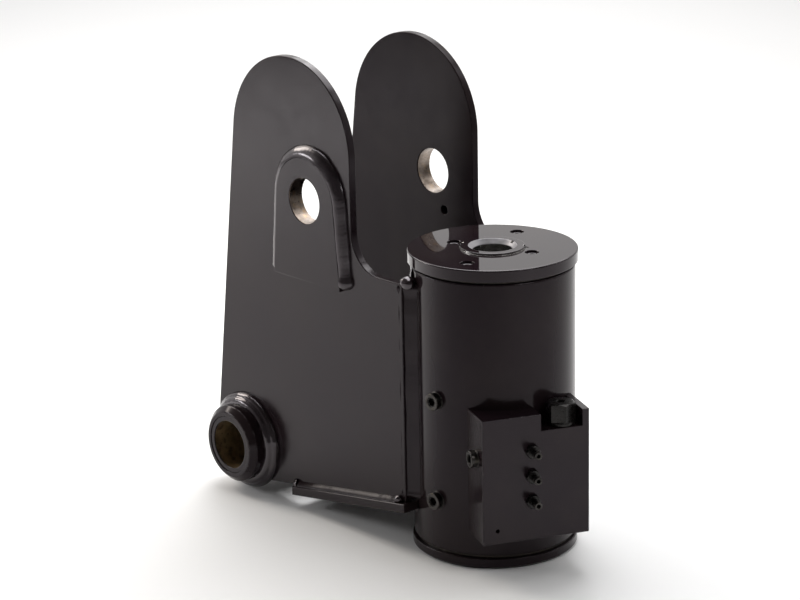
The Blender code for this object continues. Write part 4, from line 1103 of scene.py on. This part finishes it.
def make_floor():
    shape = bmesh.new()
    bmesh.ops.create_grid(shape, x_segments=24, y_segments=24, size=9)
    data = finished(shape, "floor")
    data.materials.append(floor_look())
    floor = helper("floor", data)
    floor.location = (0, 0, -0.0002)


def fall_off(tree, place, direction, between, strengths):
    """A smooth step in the world's brightness along a direction."""
    along = add_node(tree, "ShaderNodeVectorMath", {0: place, 1: direction}, operation="DOT_PRODUCT")
    return smooth_step(tree, along.outputs["Value"], between, strengths)


def add_light(name, position, target, size, power, tint=(1, 1, 1)):
    data = bpy.data.lights.new(name, "AREA")
    data.shape = "RECTANGLE"
    data.size, data.size_y = size
    data.energy = power
    data.color = tint
    obj = helper(name, data)
    obj.location = position
    obj.rotation_euler = (Vector(target) - Vector(position)).to_track_quat("-Z", "Y").to_euler()
    obj.visible_camera = False


LIGHTS = (  # name, place, target, size, power, tint
    ("overhead", (-0.40, 0.40, 1.5), (-0.40, 0.40, 0), (1.1, 1.1), 23),
    ("backdrop_light", (-2.3, 1.9, 2.3), (-2.3, 1.9, 0), (2.4, 2.4), 52),
    ("left_panel", (-2.0, -0.5, 1.75), (0, 0, 0.3), (0.8, 1.2), 24, (1.0, 0.93, 0.84)),
    ("left_floor_light", (-1.7, -1.5, 0.9), (-1.7, -1.5, 0), (0.7, 0.7), 27),
    ("back_panel", (0.8, 1.9, 2.0), (0, 0, 0.3), (0.5, 1.2), 7),
    ("right_floor_light", (1.3, 0.1, 1.0), (1.3, 0.1, 0), (0.5, 0.5), 5),
)


def make_studio():
    make_floor()
    world = bpy.data.worlds.new("studio")
    bpy.context.scene.world = world
    world.use_nodes = True
    tree = world.node_tree
    background = tree.nodes["Background"]
    place = tree.nodes.new("ShaderNodeTexCoord").outputs["Generated"]
    behind = fall_off(tree, place, (0.755, -0.656, 0.0), (-0.45, 0.65), (0.95, 0.12))
    low = fall_off(tree, place, (0.0, 0.0, 1.0), (0.45, 0.80), (1.0, 0.28))
    strength = add_node(tree, "ShaderNodeMath", {0: behind, 1: low}, operation="MULTIPLY")
    tree.links.new(strength.outputs[0], background.inputs["Strength"])
    background.inputs["Color"].default_value = (1.0, 0.985, 0.975, 1)
    for row in LIGHTS:
        add_light(*row)


CAMERA_AZIMUTH = math.radians(49.031)
CAMERA_ELEVATION = math.radians(17.0045)
CAMERA_ROLL = math.radians(-1.1222)
CAMERA_PLACE, CAMERA_LENS = (2.31903, -2.04227, 1.21149), 122.21


def make_camera():
    data = bpy.data.cameras.new("camera")
    data.sensor_width = 36
    data.lens = CAMERA_LENS
    data.clip_start, data.clip_end = 0.05, 100
    camera = helper("camera", data)
    sa, ca = math.sin(CAMERA_AZIMUTH), math.cos(CAMERA_AZIMUTH)
    se, ce = math.sin(CAMERA_ELEVATION), math.cos(CAMERA_ELEVATION)
    back = Vector((sa * ce, -ca * ce, se))
    right = Vector((ca, sa, 0))
    up = back.cross(right)
    sr, cr = math.sin(CAMERA_ROLL), math.cos(CAMERA_ROLL)
    columns = (cr * right + sr * up, -sr * right + cr * up, back)
    turn = Matrix(columns).transposed().to_4x4()
    camera.matrix_world = Matrix.Translation(CAMERA_PLACE) @ turn
    bpy.context.scene.camera = camera


make_camera()
make_bracket()
make_cross_bush()
make_barrel()
make_cap()
make_shaft()
make_block()
make_cartridge()
make_fittings()
make_inside()
make_studio()
bpy.context.scene.view_settings.view_transform = "Standard"
bpy.context.view_layer.update()
